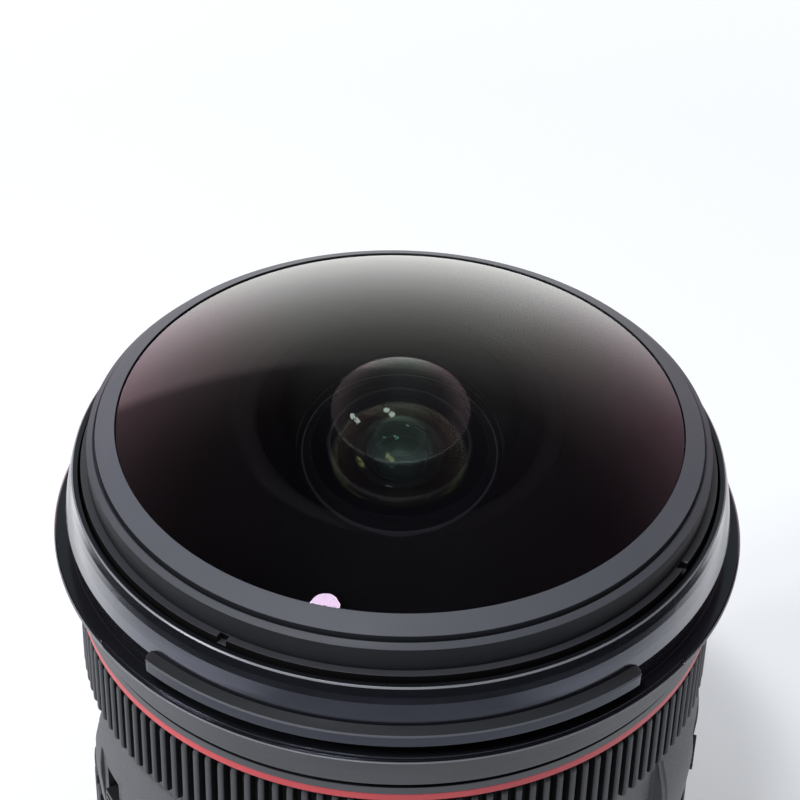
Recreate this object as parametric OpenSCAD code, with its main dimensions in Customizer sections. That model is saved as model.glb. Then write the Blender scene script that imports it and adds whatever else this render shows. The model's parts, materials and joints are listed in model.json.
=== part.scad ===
// Fisheye zoom lens, built as separate pieces in millimetres.
// Optical axis is Z, the mounting face is at z = 0 and the front glass points to +Z.

/* [Mount] */
// Thickness of the mount flange
mount_t = 2.6; // [2.2:0.1:4]
// Radius of the bayonet spigot
throat_r = 25.2; // [24.6:0.1:25.4]
// Wall of the bayonet spigot
spigot_wall = 1.8; // [1.4:0.1:2.2]
// Width of the mounting face outside the spigot
mount_face_w = 7.3; // [6.8:0.1:7.4]
// Depth of the spigot behind the mounting face
spigot_h = 5.6; // [5.4:0.1:7]
// Reach of the bayonet lugs beyond the spigot
lug_reach = 1.75; // [1:0.05:1.8]
// Mounting face to the near side of the lugs
lug_drop = 2.4; // [2:0.1:2.8]
// Thickness of the bayonet lugs
lug_t = 1.5; // [1:0.1:2]
// Angle of one bayonet lug
lug_deg = 52; // [40:1:60]
// Radius of a mount screw shank
screw_r = 0.8; // [0.6:0.05:1]
// Radius of a mount screw head
screw_head_r = 1.5; // [1.2:0.05:1.8]
// Height of a mount screw head
screw_head_h = 1.1; // [0.8:0.05:1.4]
// Width of the mount seal
seal_w = 0.8; // [0.5:0.1:1]
// Angle of the contact block
contact_deg = 62; // [58:1:80]
// Radial depth of the contact block
contact_w = 3.8; // [3:0.1:5]
// Number of contact pins
contact_count = 7; // [5:1:8]
// Radius of a contact pin
contact_r = 0.65; // [0.4:0.05:0.9]
// Thickness of the rear baffle
baffle_t = 1; // [0.6:0.1:1.4]
// Width of the rear baffle opening
baffle_w = 27; // [20:0.5:30]
// Height of the rear baffle opening
baffle_h = 19; // [14:0.5:24]

/* [Barrel] */
// Radial depth of the focus motor
motor_w = 3.12; // [2.9:0.02:3.5]
// Wall of the main barrel
barrel_wall = 1; // [0.8:0.05:1.1]
// Height of the rear barrel
rear_h = 6.6; // [6:0.1:9]
// Wall of the rear barrel at the zoom ring
rear_wall = 1.8; // [1.4:0.1:3]
// Floor of the rear barrel
base_t = 2; // [1.6:0.1:3]
// Radius of the index dot
dot_r = 1.3; // [0.8:0.1:1.6]
// Axial gap between turning rings and fixed rings
ring_gap = 0.25; // [0.15:0.05:0.4]
// Radial running gap of turning rings
run_gap = 0.08; // [0.04:0.01:0.1]
// Height of the outer barrel
mid_h = 17.75; // [17.2:0.05:19]
// Wall of the outer barrel
mid_wall = 2.5; // [2.2:0.05:2.7]
// Rise of the crown of the switch panels above the outer barrel
panel_rise = 1.75; // [1.5:0.05:1.8]
// Angle of the autofocus panel
panel_a_deg = 30; // [27:1:40]
// Angle of the limit panel
panel_b_deg = 38; // [34:1:50]
// Angle of the distance window
window_deg = 38; // [26:1:44]
// Height of the distance window
window_h = 7; // [5:0.1:7.4]
// Top of the outer barrel to the middle of the distance window
window_drop = 7.3; // [7:0.05:7.6]
// Thickness of the distance window
window_t = 1; // [0.6:0.05:1.4]
// Wall of the guide tube
guide_wall = 1.2; // [1:0.05:1.3]
// Foot of the focus ring to the foot of the web inside the barrel
web_drop = 13.5; // [13.2:0.05:13.7]

/* [Switches] */
// Width of a switch plate
plate_w = 6.4; // [6.2:0.1:7]
// Height of a switch plate
plate_h = 10.2; // [9.8:0.1:10.6]
// Thickness of a switch plate
plate_t = 0.7; // [0.5:0.05:0.9]
// Top of the outer barrel to the top of a switch plate
plate_drop = 5.75; // [4.8:0.05:5.8]
// Depth of a switch plate below the crown of its panel
plate_sink = 0.5; // [0.4:0.05:0.6]
// Width of a switch knob
knob_w = 2.8; // [2.6:0.1:4]
// Height of a switch knob
knob_h = 3.2; // [3:0.1:4]
// Height of a switch knob above its plate
knob_rise = 0.5; // [0.4:0.05:1]
// Travel of a switch knob
knob_travel = 3; // [2:0.1:3]
// Clearance round a switch knob
knob_gap = 0.2; // [0.1:0.05:0.3]

/* [Zoom] */
// Height of the zoom ring
zoom_h = 14; // [13.6:0.1:16]
// Thickness of the zoom grip over its ribs
zoom_grip_t = 2; // [1.4:0.05:2.4]
// Depth of the zoom grip ribs
zoom_rib = 0.9; // [0.5:0.05:1.2]
// Number of zoom grip ribs
zoom_ribs = 72; // [48:1:90]
// Wall of the zoom ring under its grip
zoom_core_wall = 1.72; // [1.2:0.02:2]
// Turn of the zoom ring
zoom_turn = 60; // [50:1:64]
// Angle of one zoom key
zoom_key_deg = 10; // [8:1:12]
// Height of one zoom key
zoom_key_h = 3; // [2:0.1:3.4]
// Wall of the cam barrel
cam_wall = 1.3; // [1:0.05:1.4]
// Radius of the cam pins
pin_r = 1.2; // [1:0.05:1.25]
// Clearance of a cam pin in its slot
pin_gap = 0.12; // [0.1:0.01:0.2]
// Travel of the middle group, towards the camera
mid_travel = 3; // [2:0.1:3.2]
// Travel of the rear group, towards the front
rear_travel = 4; // [3:0.1:4.2]

/* [Focus] */
// Height of the focus ring
focus_h = 9.8; // [9.75:0.05:12]
// Thickness of the focus grip over its ribs
focus_grip_t = 2.05; // [1.4:0.05:2.4]
// Depth of the focus grip ribs
focus_rib = 1.15; // [0.7:0.05:1.2]
// Number of focus grip ribs
focus_ribs = 138; // [100:1:144]
// Wall of the focus ring under its grip
focus_core_wall = 1.92; // [1.4:0.02:2.2]
// Turn of the focus ring
focus_turn = 90; // [70:1:96]
// Angle of one focus key
focus_key_deg = 12; // [8:1:14]
// Wall of the focus cam sleeve
sleeve_wall = 1.2; // [1:0.05:1.3]
// Travel of the front group
focus_travel = 2; // [1.5:0.1:2]
// Height of the motor stator
stator_h = 3; // [2.6:0.05:3]
// Height of the motor rotor
rotor_h = 2.4; // [2:0.05:2.4]
// Number of comb teeth on the stator
stator_teeth = 24; // [16:1:32]
// Radius of the focus rollers
roller_r = 1.2; // [1.1:0.05:1.2]
// Gap round the distance scale drum
drum_gap = 0.6; // [0.4:0.05:1]
// Wall of the distance scale drum
drum_wall = 0.8; // [0.6:0.05:1.2]

/* [Front] */
// Height of the accent ring
accent_h = 1.25; // [1:0.05:2]
// Height of the rebate at the foot of the accent ring
accent_rebate = 0.25; // [0.2:0.05:0.4]
// Radial width of the accent ring
accent_w = 4.1; // [3.7:0.05:4.5]
// Height of the name ring
name_h = 6.8; // [6:0.05:8]
// Radial width of the name ring
name_w = 4.6; // [4.4:0.05:5]
// Lip of the hood flange beyond the hood lugs
flange_lip = 0.25; // [0.1:0.05:1]
// Thickness of the hood flange
flange_t = 0.8; // [0.7:0.05:1.2]
// Height of the hood collar above the flange
collar_h = 8; // [7.4:0.1:8.2]
// Width of the flange inside the hood collar
collar_step = 3.3; // [3:0.05:3.6]
// Wall of the hood collar at its top edge
collar_wall = 0.8; // [0.6:0.05:1]
// Wall of the hood collar at its foot
collar_foot_w = 1.8; // [1.4:0.05:2]
// Reach of the hood lugs beyond the collar
hood_lug_reach = 1.1; // [0.7:0.05:1.4]
// Thickness of the hood lugs
hood_lug_t = 1.4; // [1.2:0.05:1.6]
// Angle of one hood lug
hood_lug_deg = 86; // [60:1:100]
// Angle of one cut in the edge of the hood flange
flange_cut_deg = 107; // [90:1:140]
// Gap between the flange and the hood lugs
hood_lug_gap = 1.7; // [1.5:0.05:1.9]
// Gap between the front cell and the hood collar
cell_gap = 0.3; // [0.2:0.05:0.4]
// Floor of the front cell
cell_floor = 1.8; // [1.4:0.1:2.2]
// Height of the glass seat above the foot of the front cell
seat_h = 6.8; // [6.2:0.05:7.4]
// Height of the cell wall above the glass seat
rim_h = 1.75; // [1.4:0.05:2.2]
// Wall of the group skirts
skirt_wall = 1.2; // [1:0.05:1.2]
// Number of spanner notches on the front cell
notch_count = 4; // [2:1:6]
// Width of a spanner notch
notch_w = 1.1; // [0.8:0.1:2]
// Width of the ledge outside the retaining ring
ledge_w = 0.8; // [0.7:0.05:1]
// Wall of the front retaining ring
retainer_wall = 2; // [1.8:0.05:2.2]
// Overlap of the retaining ring on the front glass
glass_lip = 1.2; // [0.9:0.05:1.5]

/* [Glass] */
// Edge thickness of the front element
front_edge = 5.83; // [5.4:0.01:6.4]
// Curve radius of the front element, outside
front_curve = 61.7; // [58:0.1:66]
// Curve radius of the front element, inside
front_bowl = 17.2; // [16.6:0.1:18]
// Thickness of the front element on the axis
front_t = 3.7; // [3.4:0.05:4]
// Radius of the second element
second_r = 15.5; // [15:0.05:15.8]
// Curve radius of the second element, outside
second_curve = 26; // [25:0.1:30]
// Curve radius of the second element, inside
second_bowl = 11; // [10.5:0.05:11.4]
// Edge thickness of the second element
second_edge = 3.02; // [2.6:0.02:3.4]
// Overlap of the ring on the second element
second_lip = 1.1; // [0.8:0.05:1.4]
// Radius of the front doublet
doublet_r = 10.4; // [10:0.05:10.6]
// Radius of the middle elements
mid_glass_r = 9; // [8.6:0.05:9.2]
// Radius of the rear elements
rear_glass_r = 8.8; // [8.4:0.05:9]
// Radius of the last element
last_r = 10.2; // [9.8:0.05:10.4]
// Edge thickness of the inner convex elements
glass_edge = 0.5; // [0.3:0.05:0.8]
// Seat clearance round each element
glass_gap = 0.1; // [0.05:0.01:0.15]

/* [Iris] */
// Clear radius of the open iris
iris_r = 8; // [7.4:0.1:8.2]
// Wall of the iris housing outside the blade levers
iris_wall = 2.3; // [2.2:0.05:2.8]
// Distance from the open iris to the blade pivots
pivot_reach = 6.2; // [6.1:0.05:6.3]
// Radius of a blade pivot pin
pivot_r = 0.5; // [0.4:0.02:0.54]
// Clearance of a pivot pin in its blade
pivot_gap = 0.06; // [0.04:0.01:0.08]
// Thickness of a blade
blade_t = 0.15; // [0.1:0.01:0.18]
// Pitch of the blade levels
blade_pitch = 0.25; // [0.23:0.01:0.3]
// Length of the blade lever
lever = 1.5; // [1.45:0.05:1.55]
// Angle a blade covers
blade_deg = 105; // [90:1:120]

/* [Hidden] */
$fn = 96;
blade_count = 7;
front_az = -90;
z_base = mount_t + base_t;
z_zoom = mount_t + rear_h + ring_gap;
z_mid = z_zoom + zoom_h + ring_gap;
z_focus = z_mid + mid_h + ring_gap;
z_accent = z_focus + focus_h + ring_gap;
z_name = z_accent + accent_h;
z_flange = z_name + name_h;
z_coll = z_flange + flange_t;
mount_r = throat_r + mount_face_w;
lug_r = throat_r + lug_reach;
screw_circle_r = (lug_r + 0.15 + mount_r) / 2;
z_baffle = -spigot_h + 2;
guide_in_r = throat_r;
guide_r = guide_in_r + guide_wall;
turn_in_r = guide_r + run_gap;
cam_r = turn_in_r + cam_wall;
sleeve_r = turn_in_r + sleeve_wall;
motor_in_r = sleeve_r + 0.8;
motor_r = motor_in_r + motor_w;
barrel_in_r = motor_r + 0.2;
barrel_r = barrel_in_r + barrel_wall;
drum_r = barrel_in_r - drum_gap;
core_in_r = barrel_r + run_gap;
rear_top_r = barrel_r + rear_wall;
zoom_core_r = core_in_r + zoom_core_wall;
zoom_r = zoom_core_r + zoom_grip_t;
mid_r = barrel_r + mid_wall;
panel_r = mid_r + panel_rise;
focus_core_r = core_in_r + focus_core_wall;
focus_r = focus_core_r + focus_grip_t;
accent_r = barrel_r + accent_w;
name_r = barrel_r + name_w;
collar_in_r = barrel_r + collar_step;
collar_top_r = collar_in_r + collar_wall;
collar_foot_r = collar_in_r + collar_foot_w;
hood_lug_r = collar_foot_r + hood_lug_reach;
flange_r = hood_lug_r + flange_lip;
cell_r = collar_in_r - cell_gap;
retainer_r = cell_r - ledge_w;
glass_r = retainer_r - retainer_wall;
clear_r = glass_r - glass_lip;
second_clear_r = second_r - second_lip;
skirt_r = guide_in_r - 0.15;
skirt_in_r = skirt_r - skirt_wall;
web_t = 1.4;
z_web = z_focus - web_drop;
z_cam = z_base + 3.4;
z_cam_top = z_web - 0.4;
z_rear_pin = z_base + 7.4;
z_mid_pin = z_web - 3.2;
z_key = z_zoom + zoom_h / 2;
z_drum = z_web + web_t + 0.6;
ledge_t = 0.9;
z_ledge = z_focus - 0.6;
z_stator = z_ledge + ledge_t;
z_rotor = z_stator + stator_h + 0.1;
z_roller = z_rotor + rotor_h + 0.05 + roller_r;
z_manual = z_roller + roller_r + 0.05;
manual_h = 1.4;
z_front_pin = z_stator + 5;
z_guide_top = z_stator + 13;
z_cell = z_coll + 0.2;
z_seat = z_cell + seat_h;
z_cell_top = z_seat + rim_h;
bore_r = glass_r + glass_gap;
apex = z_seat + front_edge + sag(front_curve, glass_r);
front_mid = apex - front_curve;
z_second = z_cell - 0.6;
second_apex = z_second + second_edge + sag(second_curve, second_r);
z_second_ring = z_second + second_edge + 1.08;
hub_r = second_r + glass_gap + 1.8;
z_doublet = z_second - 8.6;
z_mid_glass = z_web + 3.8;
z_rear_glass = z_base + 0.8;
z_iris = z_rear_glass + 14.6;
mid_curve = 28;
rear_curve = 26;
rear_back_curve = 40;
last_curve = 24;
last_back_curve = 60;
z_mid_back = z_mid_glass + 6;
z_rear_back = z_rear_glass + 10.3;
z_last_back = z_rear_glass + 0.5;
z_last_top = z_last_back + glass_edge + sag(last_back_curve, last_r) + sag(last_curve, last_r);
z_mid_seat = z_mid_back + sag(mid_curve, mid_glass_r - 0.6);
z_rear_seat = z_rear_back + sag(rear_back_curve, rear_glass_r - 1.2);
z_last_seat = z_last_top - sag(last_curve, rear_glass_r + glass_gap);
z_last_ring = z_last_back + sag(last_back_curve, last_r - 1);
iris_stack = blade_count * blade_pitch + 0.1;
pivot_circle_r = iris_r + pivot_reach;
iris_out_r = pivot_circle_r + lever + iris_wall;
iris_ring_in_r = pivot_circle_r + lever - 0.15;
iris_ring_r = iris_out_r - 1;
panel_a_az = -146;
panel_b_az = -12;
switch_a_az = panel_a_az - 5.5;
switch_b_az = panel_b_az + 2;
z_panel = z_mid + mid_h - 0.2;
z_plate = z_mid + mid_h - plate_drop - plate_h / 2;
z_window = z_mid + mid_h - window_drop;
knob_base_h = knob_h + 1.4;
knob_base_w = knob_w + 2;
plate_r = panel_r - plate_sink;
pocket_r = plate_r - plate_t;
knob_floor_r = pocket_r - 1.5;

function dome(r) = front_mid + sqrt(front_curve * front_curve - r * r);
function sag(curve, r) = curve - sqrt(curve * curve - r * r);
function rib_points(n, r1, r0, crest, flank) = [for (i = [0 : n - 1])
    for (p = [[r0, -crest - flank], [r1, -crest], [r1, crest], [r0, crest + flank]])
        [p[0] * cos(360 * (i + p[1]) / n), p[0] * sin(360 * (i + p[1]) / n)]];

module tube(r1, r0, z0, z1) {
    rotate_extrude($fn = 180) translate([r0, z0]) square([r1 - r0, z1 - z0]);
}

module sector(r1, r0, z0, z1, a0, a1) {
    rotate([0, 0, a0]) rotate_extrude(angle = a1 - a0) translate([r0, z0]) square([r1 - r0, z1 - z0]);
}

module spoke(r0, r1, rr, az, z) {
    rotate([0, 0, az]) translate([r0, 0, z]) rotate([0, 90, 0]) cylinder(r = rr, h = r1 - r0);
}

module straight_slot(r0, r1, w, az, z0, z1) {
    spoke(r0, r1, w / 2, az, z0);
    spoke(r0, r1, w / 2, az, z1);
    rotate([0, 0, az]) translate([r0, -w / 2, z0]) cube([r1 - r0, w, z1 - z0]);
}

module cam_slot(r0, r1, w, az, z0, turn, rise, steps) {
    rm = (r0 + r1) / 2;
    run = rm * turn * PI / 180;
    long = sqrt(run * run + rise * rise) / steps * 1.06 + 0.1;
    spoke(r0, r1, w / 2, az, z0);
    spoke(r0, r1, w / 2, az - turn, z0 + rise);
    for (i = [0 : steps - 1])
        rotate([0, 0, az - turn * (i + 0.5) / steps]) translate([rm, 0, z0 + rise * (i + 0.5) / steps])
            rotate([-atan(rise / run), 0, 0]) cube([r1 - r0, long, w], center = true);
}

module ball(r, z) {
    translate([0, 0, z]) sphere(r = r, $fn = 240);
}

// a lens face that bulges up to z, and one that bulges down to z
module face_up(curve, z) {
    ball(curve, z - curve);
}

module face_down(curve, z) {
    ball(curve, z + curve);
}

module plug(r, z0, z1, n = 180) {
    translate([0, 0, z0]) cylinder(r = r, h = z1 - z0, $fn = n);
}

// mount
module screw_holes(r, z0, z1) {
    for (i = [0 : 3]) rotate([0, 0, 45 + 90 * i]) translate([screw_circle_r, 0, z0])
        cylinder(r = r, h = z1 - z0);
}

module bayonet_mount() {
    color([0.75, 0.76, 0.78]) difference() {
        union() {
            rotate_extrude() polygon([[throat_r - spigot_wall, -spigot_h], [throat_r - 0.3, -spigot_h],
                [throat_r, -spigot_h + 0.3], [throat_r, 0.5], [lug_r + 0.15, 0.5], [lug_r + 0.15, 0],
                [mount_r, 0], [mount_r, mount_t], [throat_r - spigot_wall, mount_t]]);
            for (i = [0 : 2]) sector(lug_r, throat_r - 0.5, -lug_drop - lug_t, -lug_drop,
                120 * i + 60, 120 * i + 60 + lug_deg);
        }
        screw_holes(screw_head_r + 0.05, -1, screw_head_h + 0.15);
        screw_holes(screw_r + 0.05, 0, mount_t + 1);
    }
}

module mount_screws() {
    color([0.6, 0.6, 0.62]) difference() {
        union() {
            screw_holes(screw_head_r, 0.15, 0.15 + screw_head_h);
            screw_holes(screw_r, 0.1 + screw_head_h, z_base - 0.4);
        }
        for (i = [0 : 3]) rotate([0, 0, 45 + 90 * i]) translate([screw_circle_r, 0, 0.3]) {
            cube([1.6, 0.3, 1], center = true);
            cube([0.3, 1.6, 1], center = true);
        }
    }
}

module mount_seal() {
    color([0.08, 0.08, 0.08]) tube(mount_r + seal_w, mount_r, 0.4, mount_t);
}

module rear_barrel() {
    color([0.1, 0.1, 0.11]) difference() {
        rotate_extrude() polygon([[guide_in_r - 0.6, mount_t], [mount_r + seal_w, mount_t],
            [rear_top_r - 0.3, mount_t + rear_h - 1], [rear_top_r, mount_t + rear_h - 0.6],
            [rear_top_r, mount_t + rear_h], [barrel_r, mount_t + rear_h], [barrel_r, z_base],
            [guide_in_r - 0.6, z_base]]);
        screw_holes(screw_r, mount_t - 1, z_base - 0.4);
        spoke(barrel_r + 0.3, rear_top_r + 2, dot_r, front_az, z_base + 1);
    }
}

module index_dot() {
    color([0.75, 0.1, 0.12]) intersection() {
        spoke(barrel_r + 0.3, rear_top_r + 2, dot_r, front_az, z_base + 1);
        tube(rear_top_r - 0.2, barrel_r, mount_t, z_base + 4);
    }
}

module contact_block() {
    color([0.12, 0.12, 0.13]) difference() {
        sector(throat_r - spigot_wall, throat_r - spigot_wall - contact_w, -spigot_h + 0.4, mount_t,
            90 - contact_deg / 2, 90 + contact_deg / 2);
        contact_holes(-spigot_h, -spigot_h + 2);
    }
}

module contact_holes(z0, z1) {
    for (i = [0 : contact_count - 1])
        rotate([0, 0, 90 + (i - (contact_count - 1) / 2) * (contact_deg - 8) / contact_count])
            translate([throat_r - spigot_wall - contact_w / 2, 0, z0]) cylinder(r = contact_r, h = z1 - z0);
}

module contact_pins() {
    color([0.85, 0.68, 0.3]) contact_holes(-spigot_h + 0.1, -spigot_h + 2);
}

module rear_baffle() {
    color([0.07, 0.07, 0.07]) difference() {
        union() {
            plug(throat_r - spigot_wall, z_baffle, z_baffle + baffle_t);
            for (s = [-1, 1]) translate([s * (baffle_w / 2 + 1) - 0.6, -baffle_h / 2, z_baffle - 1])
                cube([1.2, baffle_h, 1.2]);
        }
        translate([-baffle_w / 2, -baffle_h / 2, z_baffle - 2]) cube([baffle_w, baffle_h, baffle_t + 3]);
        sector(throat_r, throat_r - spigot_wall - contact_w - 0.1, z_baffle - 2, 1,
            90 - contact_deg / 2 - 0.5, 90 + contact_deg / 2 + 0.5);
    }
}

module circuit_board() {
    color([0.1, 0.3, 0.16]) {
        tube(barrel_in_r - 0.6, guide_r + 1, z_base, z_base + 1);
        for (a = [20, 75, 130, 200, 250, 310]) sector(barrel_in_r - 1.2, guide_r + 1.6,
            z_base + 0.9, z_base + 2, a, a + 9);
    }
}

// fixed barrel
module main_barrel() {
    color([0.14, 0.14, 0.15]) difference() {
        union() {
            tube(barrel_r, barrel_in_r, z_base, z_ledge);
            tube(barrel_r - 0.4, guide_r, z_web, z_web + web_t);
        }
        for (a = [0, 120, 240]) sector(barrel_r + 1, barrel_in_r - 1, z_key - zoom_key_h / 2 - 0.3,
            z_key + zoom_key_h / 2 + 0.3, a - zoom_key_deg / 2 - 1, a + zoom_turn + zoom_key_deg / 2 + 1);
        sector(barrel_r + 1, barrel_in_r - 1, z_window - window_h / 2 + 0.3, z_window + window_h / 2 - 0.3,
            front_az - window_deg / 2 + 1, front_az + window_deg / 2 - 1);
    }
}

module panel(az, deg) {
    rotate([0, 0, az - deg / 2]) rotate_extrude(angle = deg) polygon([[mid_r - 1, z_mid + 0.3],
        [panel_r - 1.1, z_mid + 0.3], [panel_r - 0.75, z_mid + 1.1], [panel_r - 0.62, z_mid + 2.3],
        [panel_r - 0.4, z_mid + 4.9], [panel_r - 0.2, z_mid + 7.6], [panel_r - 0.2, z_mid + 9.1],
        [panel_r - 0.35, z_mid + 11.2], [panel_r - 0.65, z_mid + 12.8], [panel_r - 1.15, z_panel - 2.7],
        [panel_r - 1.55, z_panel - 1], [panel_r - 1.85, z_panel], [mid_r - 1, z_panel]]);
    rotate([0, 0, az - deg / 2 + 1.2]) rotate_extrude(angle = deg - 2.4) polygon([[mid_r - 1, z_mid + 0.8],
        [panel_r - 0.65, z_mid + 0.8], [panel_r - 0.45, z_mid + 2], [panel_r - 0.2, z_mid + 4.7],
        [panel_r, z_mid + 7.5], [panel_r, z_mid + 9.3], [panel_r - 0.15, z_mid + 11.3],
        [panel_r - 0.45, z_mid + 12.9], [panel_r - 0.95, z_panel - 2.6], [panel_r - 1.35, z_panel - 1.2],
        [mid_r - 1, z_panel - 1.1]]);
}

module plate_shape(az, r0, r1, w, h) {
    rotate([0, 0, az]) translate([r0, -w / 2, z_plate - h / 2]) cube([r1 - r0, w, h]);
}

module switch_pocket(az) {
    plate_shape(az, pocket_r - 0.3, panel_r + 4, plate_w, plate_h);
    plate_shape(az, knob_floor_r, panel_r, knob_base_w + 2 * knob_gap,
        knob_base_h + knob_travel + 2 * knob_gap);
}

module outer_barrel() {
    color([0.16, 0.16, 0.17]) difference() {
        union() {
            rotate_extrude() polygon([[barrel_r, z_mid], [mid_r - 0.2, z_mid], [mid_r, z_mid + 0.2],
                [mid_r, z_mid + mid_h - 1], [mid_r - 0.4, z_mid + mid_h], [barrel_r, z_mid + mid_h]]);
            panel(panel_a_az, panel_a_deg);
            panel(panel_b_az, panel_b_deg);
        }
        switch_pocket(switch_a_az);
        switch_pocket(switch_b_az);
        sector(mid_r + 1, barrel_r - 1, z_window - window_h / 2 + 0.3, z_window + window_h / 2 - 0.3,
            front_az - window_deg / 2 + 1, front_az + window_deg / 2 - 1);
        sector(mid_r + 1, mid_r - window_t, z_window - window_h / 2, z_window + window_h / 2,
            front_az - window_deg / 2, front_az + window_deg / 2);
    }
}

module distance_window() {
    color([0.7, 0.75, 0.8, 0.4]) sector(mid_r, mid_r - window_t, z_window - window_h / 2,
        z_window + window_h / 2, front_az - window_deg / 2, front_az + window_deg / 2);
}

module switch_plate(az) {
    difference() {
        intersection() {
            plate_shape(az, pocket_r - 0.3, panel_r + 4, plate_w, plate_h);
            plug(plate_r + 0.1, z_mid, z_mid + mid_h, 720);
        }
        plate_shape(az, pocket_r - 2, panel_r + 4, knob_w + 2 * knob_gap,
            knob_h + knob_travel + 2 * knob_gap);
    }
}

module switch_knob(az) {
    rotate([0, 0, az]) translate([0, 0, z_plate - knob_travel / 2]) difference() {
        union() {
            translate([knob_floor_r + 0.05, -knob_base_w / 2, -knob_base_h / 2])
                cube([pocket_r - knob_floor_r - 0.55, knob_base_w, knob_base_h]);
            translate([knob_floor_r + 0.05, -knob_w / 2, -knob_h / 2])
                cube([plate_r + knob_rise - knob_floor_r, knob_w, knob_h]);
        }
        for (s = [-1, 0, 1]) translate([plate_r + knob_rise - 0.2, -knob_w / 2 - 1, s * knob_h / 4 - 0.2])
            cube([1, knob_w + 2, 0.4]);
    }
}

module af_switch_plate() {
    color([0.2, 0.2, 0.21]) switch_plate(switch_a_az);
}

module limit_switch_plate() {
    color([0.2, 0.2, 0.21]) switch_plate(switch_b_az);
}

module af_switch_knob() {
    color([0.08, 0.08, 0.08]) switch_knob(switch_a_az);
}

module limit_switch_knob() {
    color([0.08, 0.08, 0.08]) switch_knob(switch_b_az);
}

module accent_ring() {
    color([0.7, 0.1, 0.12]) rotate_extrude() polygon([[barrel_r, z_accent], [accent_r - 0.5, z_accent],
        [accent_r - 0.5, z_accent + accent_rebate], [accent_r, z_accent + accent_rebate], [accent_r, z_name],
        [barrel_r, z_name]]);
}

module name_ring() {
    color([0.12, 0.12, 0.13]) rotate_extrude() polygon([[barrel_r, z_name], [accent_r + 0.05, z_name],
        [accent_r + 0.05, z_name + 1.1], [name_r - 1, z_name + 1.1], [name_r - 1, z_name + 1.95],
        [name_r, z_name + 1.95], [name_r, z_flange - 0.3], [name_r - 0.3, z_flange],
        [barrel_r, z_flange]]);
}

module hood_collar() {
    color([0.06, 0.06, 0.07]) difference() {
        union() {
            rotate_extrude() polygon([[barrel_r, z_flange], [flange_r - 0.3, z_flange],
                [flange_r, z_flange + 0.25], [flange_r, z_flange + 0.45], [flange_r - 0.3, z_coll],
                [collar_foot_r - 0.5, z_coll], [collar_foot_r - 0.5, z_coll + hood_lug_gap - 0.2],
                [collar_foot_r, z_coll + hood_lug_gap + hood_lug_t - 0.2],
                [collar_foot_r - 0.25, z_coll + hood_lug_gap + hood_lug_t + 1.6],
                [collar_top_r + 0.15, z_coll + collar_h - 0.6], [collar_top_r, z_coll + collar_h - 0.2],
                [collar_top_r - 0.2, z_coll + collar_h], [collar_in_r, z_coll + collar_h],
                [collar_in_r, z_coll], [barrel_r, z_coll]]);
            for (a = [front_az, front_az + 180]) sector(hood_lug_r, collar_in_r + 0.5, z_coll + hood_lug_gap,
                z_coll + hood_lug_gap + hood_lug_t, a - hood_lug_deg / 2, a + hood_lug_deg / 2);
        }
        for (a = [front_az, front_az + 180]) sector(flange_r + 1, flange_r - 0.45, z_flange + 0.35,
            z_coll + 0.3, a - flange_cut_deg / 2, a + flange_cut_deg / 2);
    }
}

module front_sleeve() {
    color([0.14, 0.14, 0.15]) difference() {
        union() {
            tube(barrel_r, barrel_in_r, z_ledge, z_coll);
            tube(barrel_r - 0.4, motor_in_r - 0.2, z_ledge, z_stator);
        }
        for (a = [0, 180]) sector(barrel_r + 1, barrel_in_r - 0.5, z_manual + 0.05,
            z_manual + manual_h - 0.05, a - focus_key_deg / 2 - 1, a + focus_turn + focus_key_deg / 2 + 1);
    }
}

module guide_tube() {
    w = 2 * (pin_r + pin_gap);
    color([0.5, 0.5, 0.52]) difference() {
        tube(guide_r, guide_in_r, z_base, z_guide_top);
        for (a = [0, 120, 240]) {
            straight_slot(guide_in_r - 1, guide_r + 1, w, a, z_rear_pin - 0.1,
                z_rear_pin + rear_travel + 0.1);
            straight_slot(guide_in_r - 1, guide_r + 1, w, a + 60, z_mid_pin - mid_travel - 0.1,
                z_mid_pin + 0.1);
            straight_slot(guide_in_r - 1, guide_r + 1, w, a, z_front_pin - 0.1,
                z_front_pin + focus_travel + 0.1);
        }
    }
}

module motor_stator() {
    color([0.7, 0.62, 0.4]) difference() {
        tube(motor_r, motor_in_r, z_stator, z_stator + stator_h);
        for (i = [0 : stator_teeth - 1]) rotate([0, 0, 360 * i / stator_teeth])
            translate([motor_in_r - 1, -0.3, z_stator + stator_h - 1]) cube([6, 0.6, 2]);
    }
}

// focus
module focus_ring() {
    color([0.1, 0.1, 0.11]) tube(focus_core_r, core_in_r, z_focus, z_focus + focus_h);
}

module focus_grip() {
    color([0.2, 0.2, 0.21]) difference() {
        translate([0, 0, z_focus]) linear_extrude(focus_h)
            polygon(rib_points(focus_ribs, focus_r, focus_r - focus_rib, 0.26, 0.08));
        plug(focus_core_r, z_focus - 1, z_focus + focus_h + 1);
    }
}

module focus_keys() {
    color([0.6, 0.6, 0.62]) for (a = [0, 180]) sector(core_in_r, motor_r, z_manual + 0.2,
        z_manual + manual_h - 0.2, a - focus_key_deg / 2, a + focus_key_deg / 2);
}

module manual_ring() {
    color([0.6, 0.6, 0.62]) tube(motor_r, motor_in_r, z_manual, z_manual + manual_h);
}

module focus_cam_sleeve() {
    w = 2 * (pin_r + pin_gap);
    color([0.55, 0.55, 0.57]) difference() {
        union() {
            tube(sleeve_r, turn_in_r, z_drum, z_manual + manual_h);
            tube(motor_r - 0.4, turn_in_r + 0.2, z_roller - 0.5, z_roller + 0.5);
        }
        for (a = [0, 120, 240]) {
            cam_slot(turn_in_r - 1, sleeve_r + 0.1, w, a, z_front_pin, focus_turn / 2, focus_travel, 9);
            rotate([0, 0, a + 60]) translate([motor_in_r + 0.2, -roller_r - 0.3, z_roller - 2])
                cube([motor_r - motor_in_r - 1, 2 * roller_r + 0.6, 4]);
        }
    }
}

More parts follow.
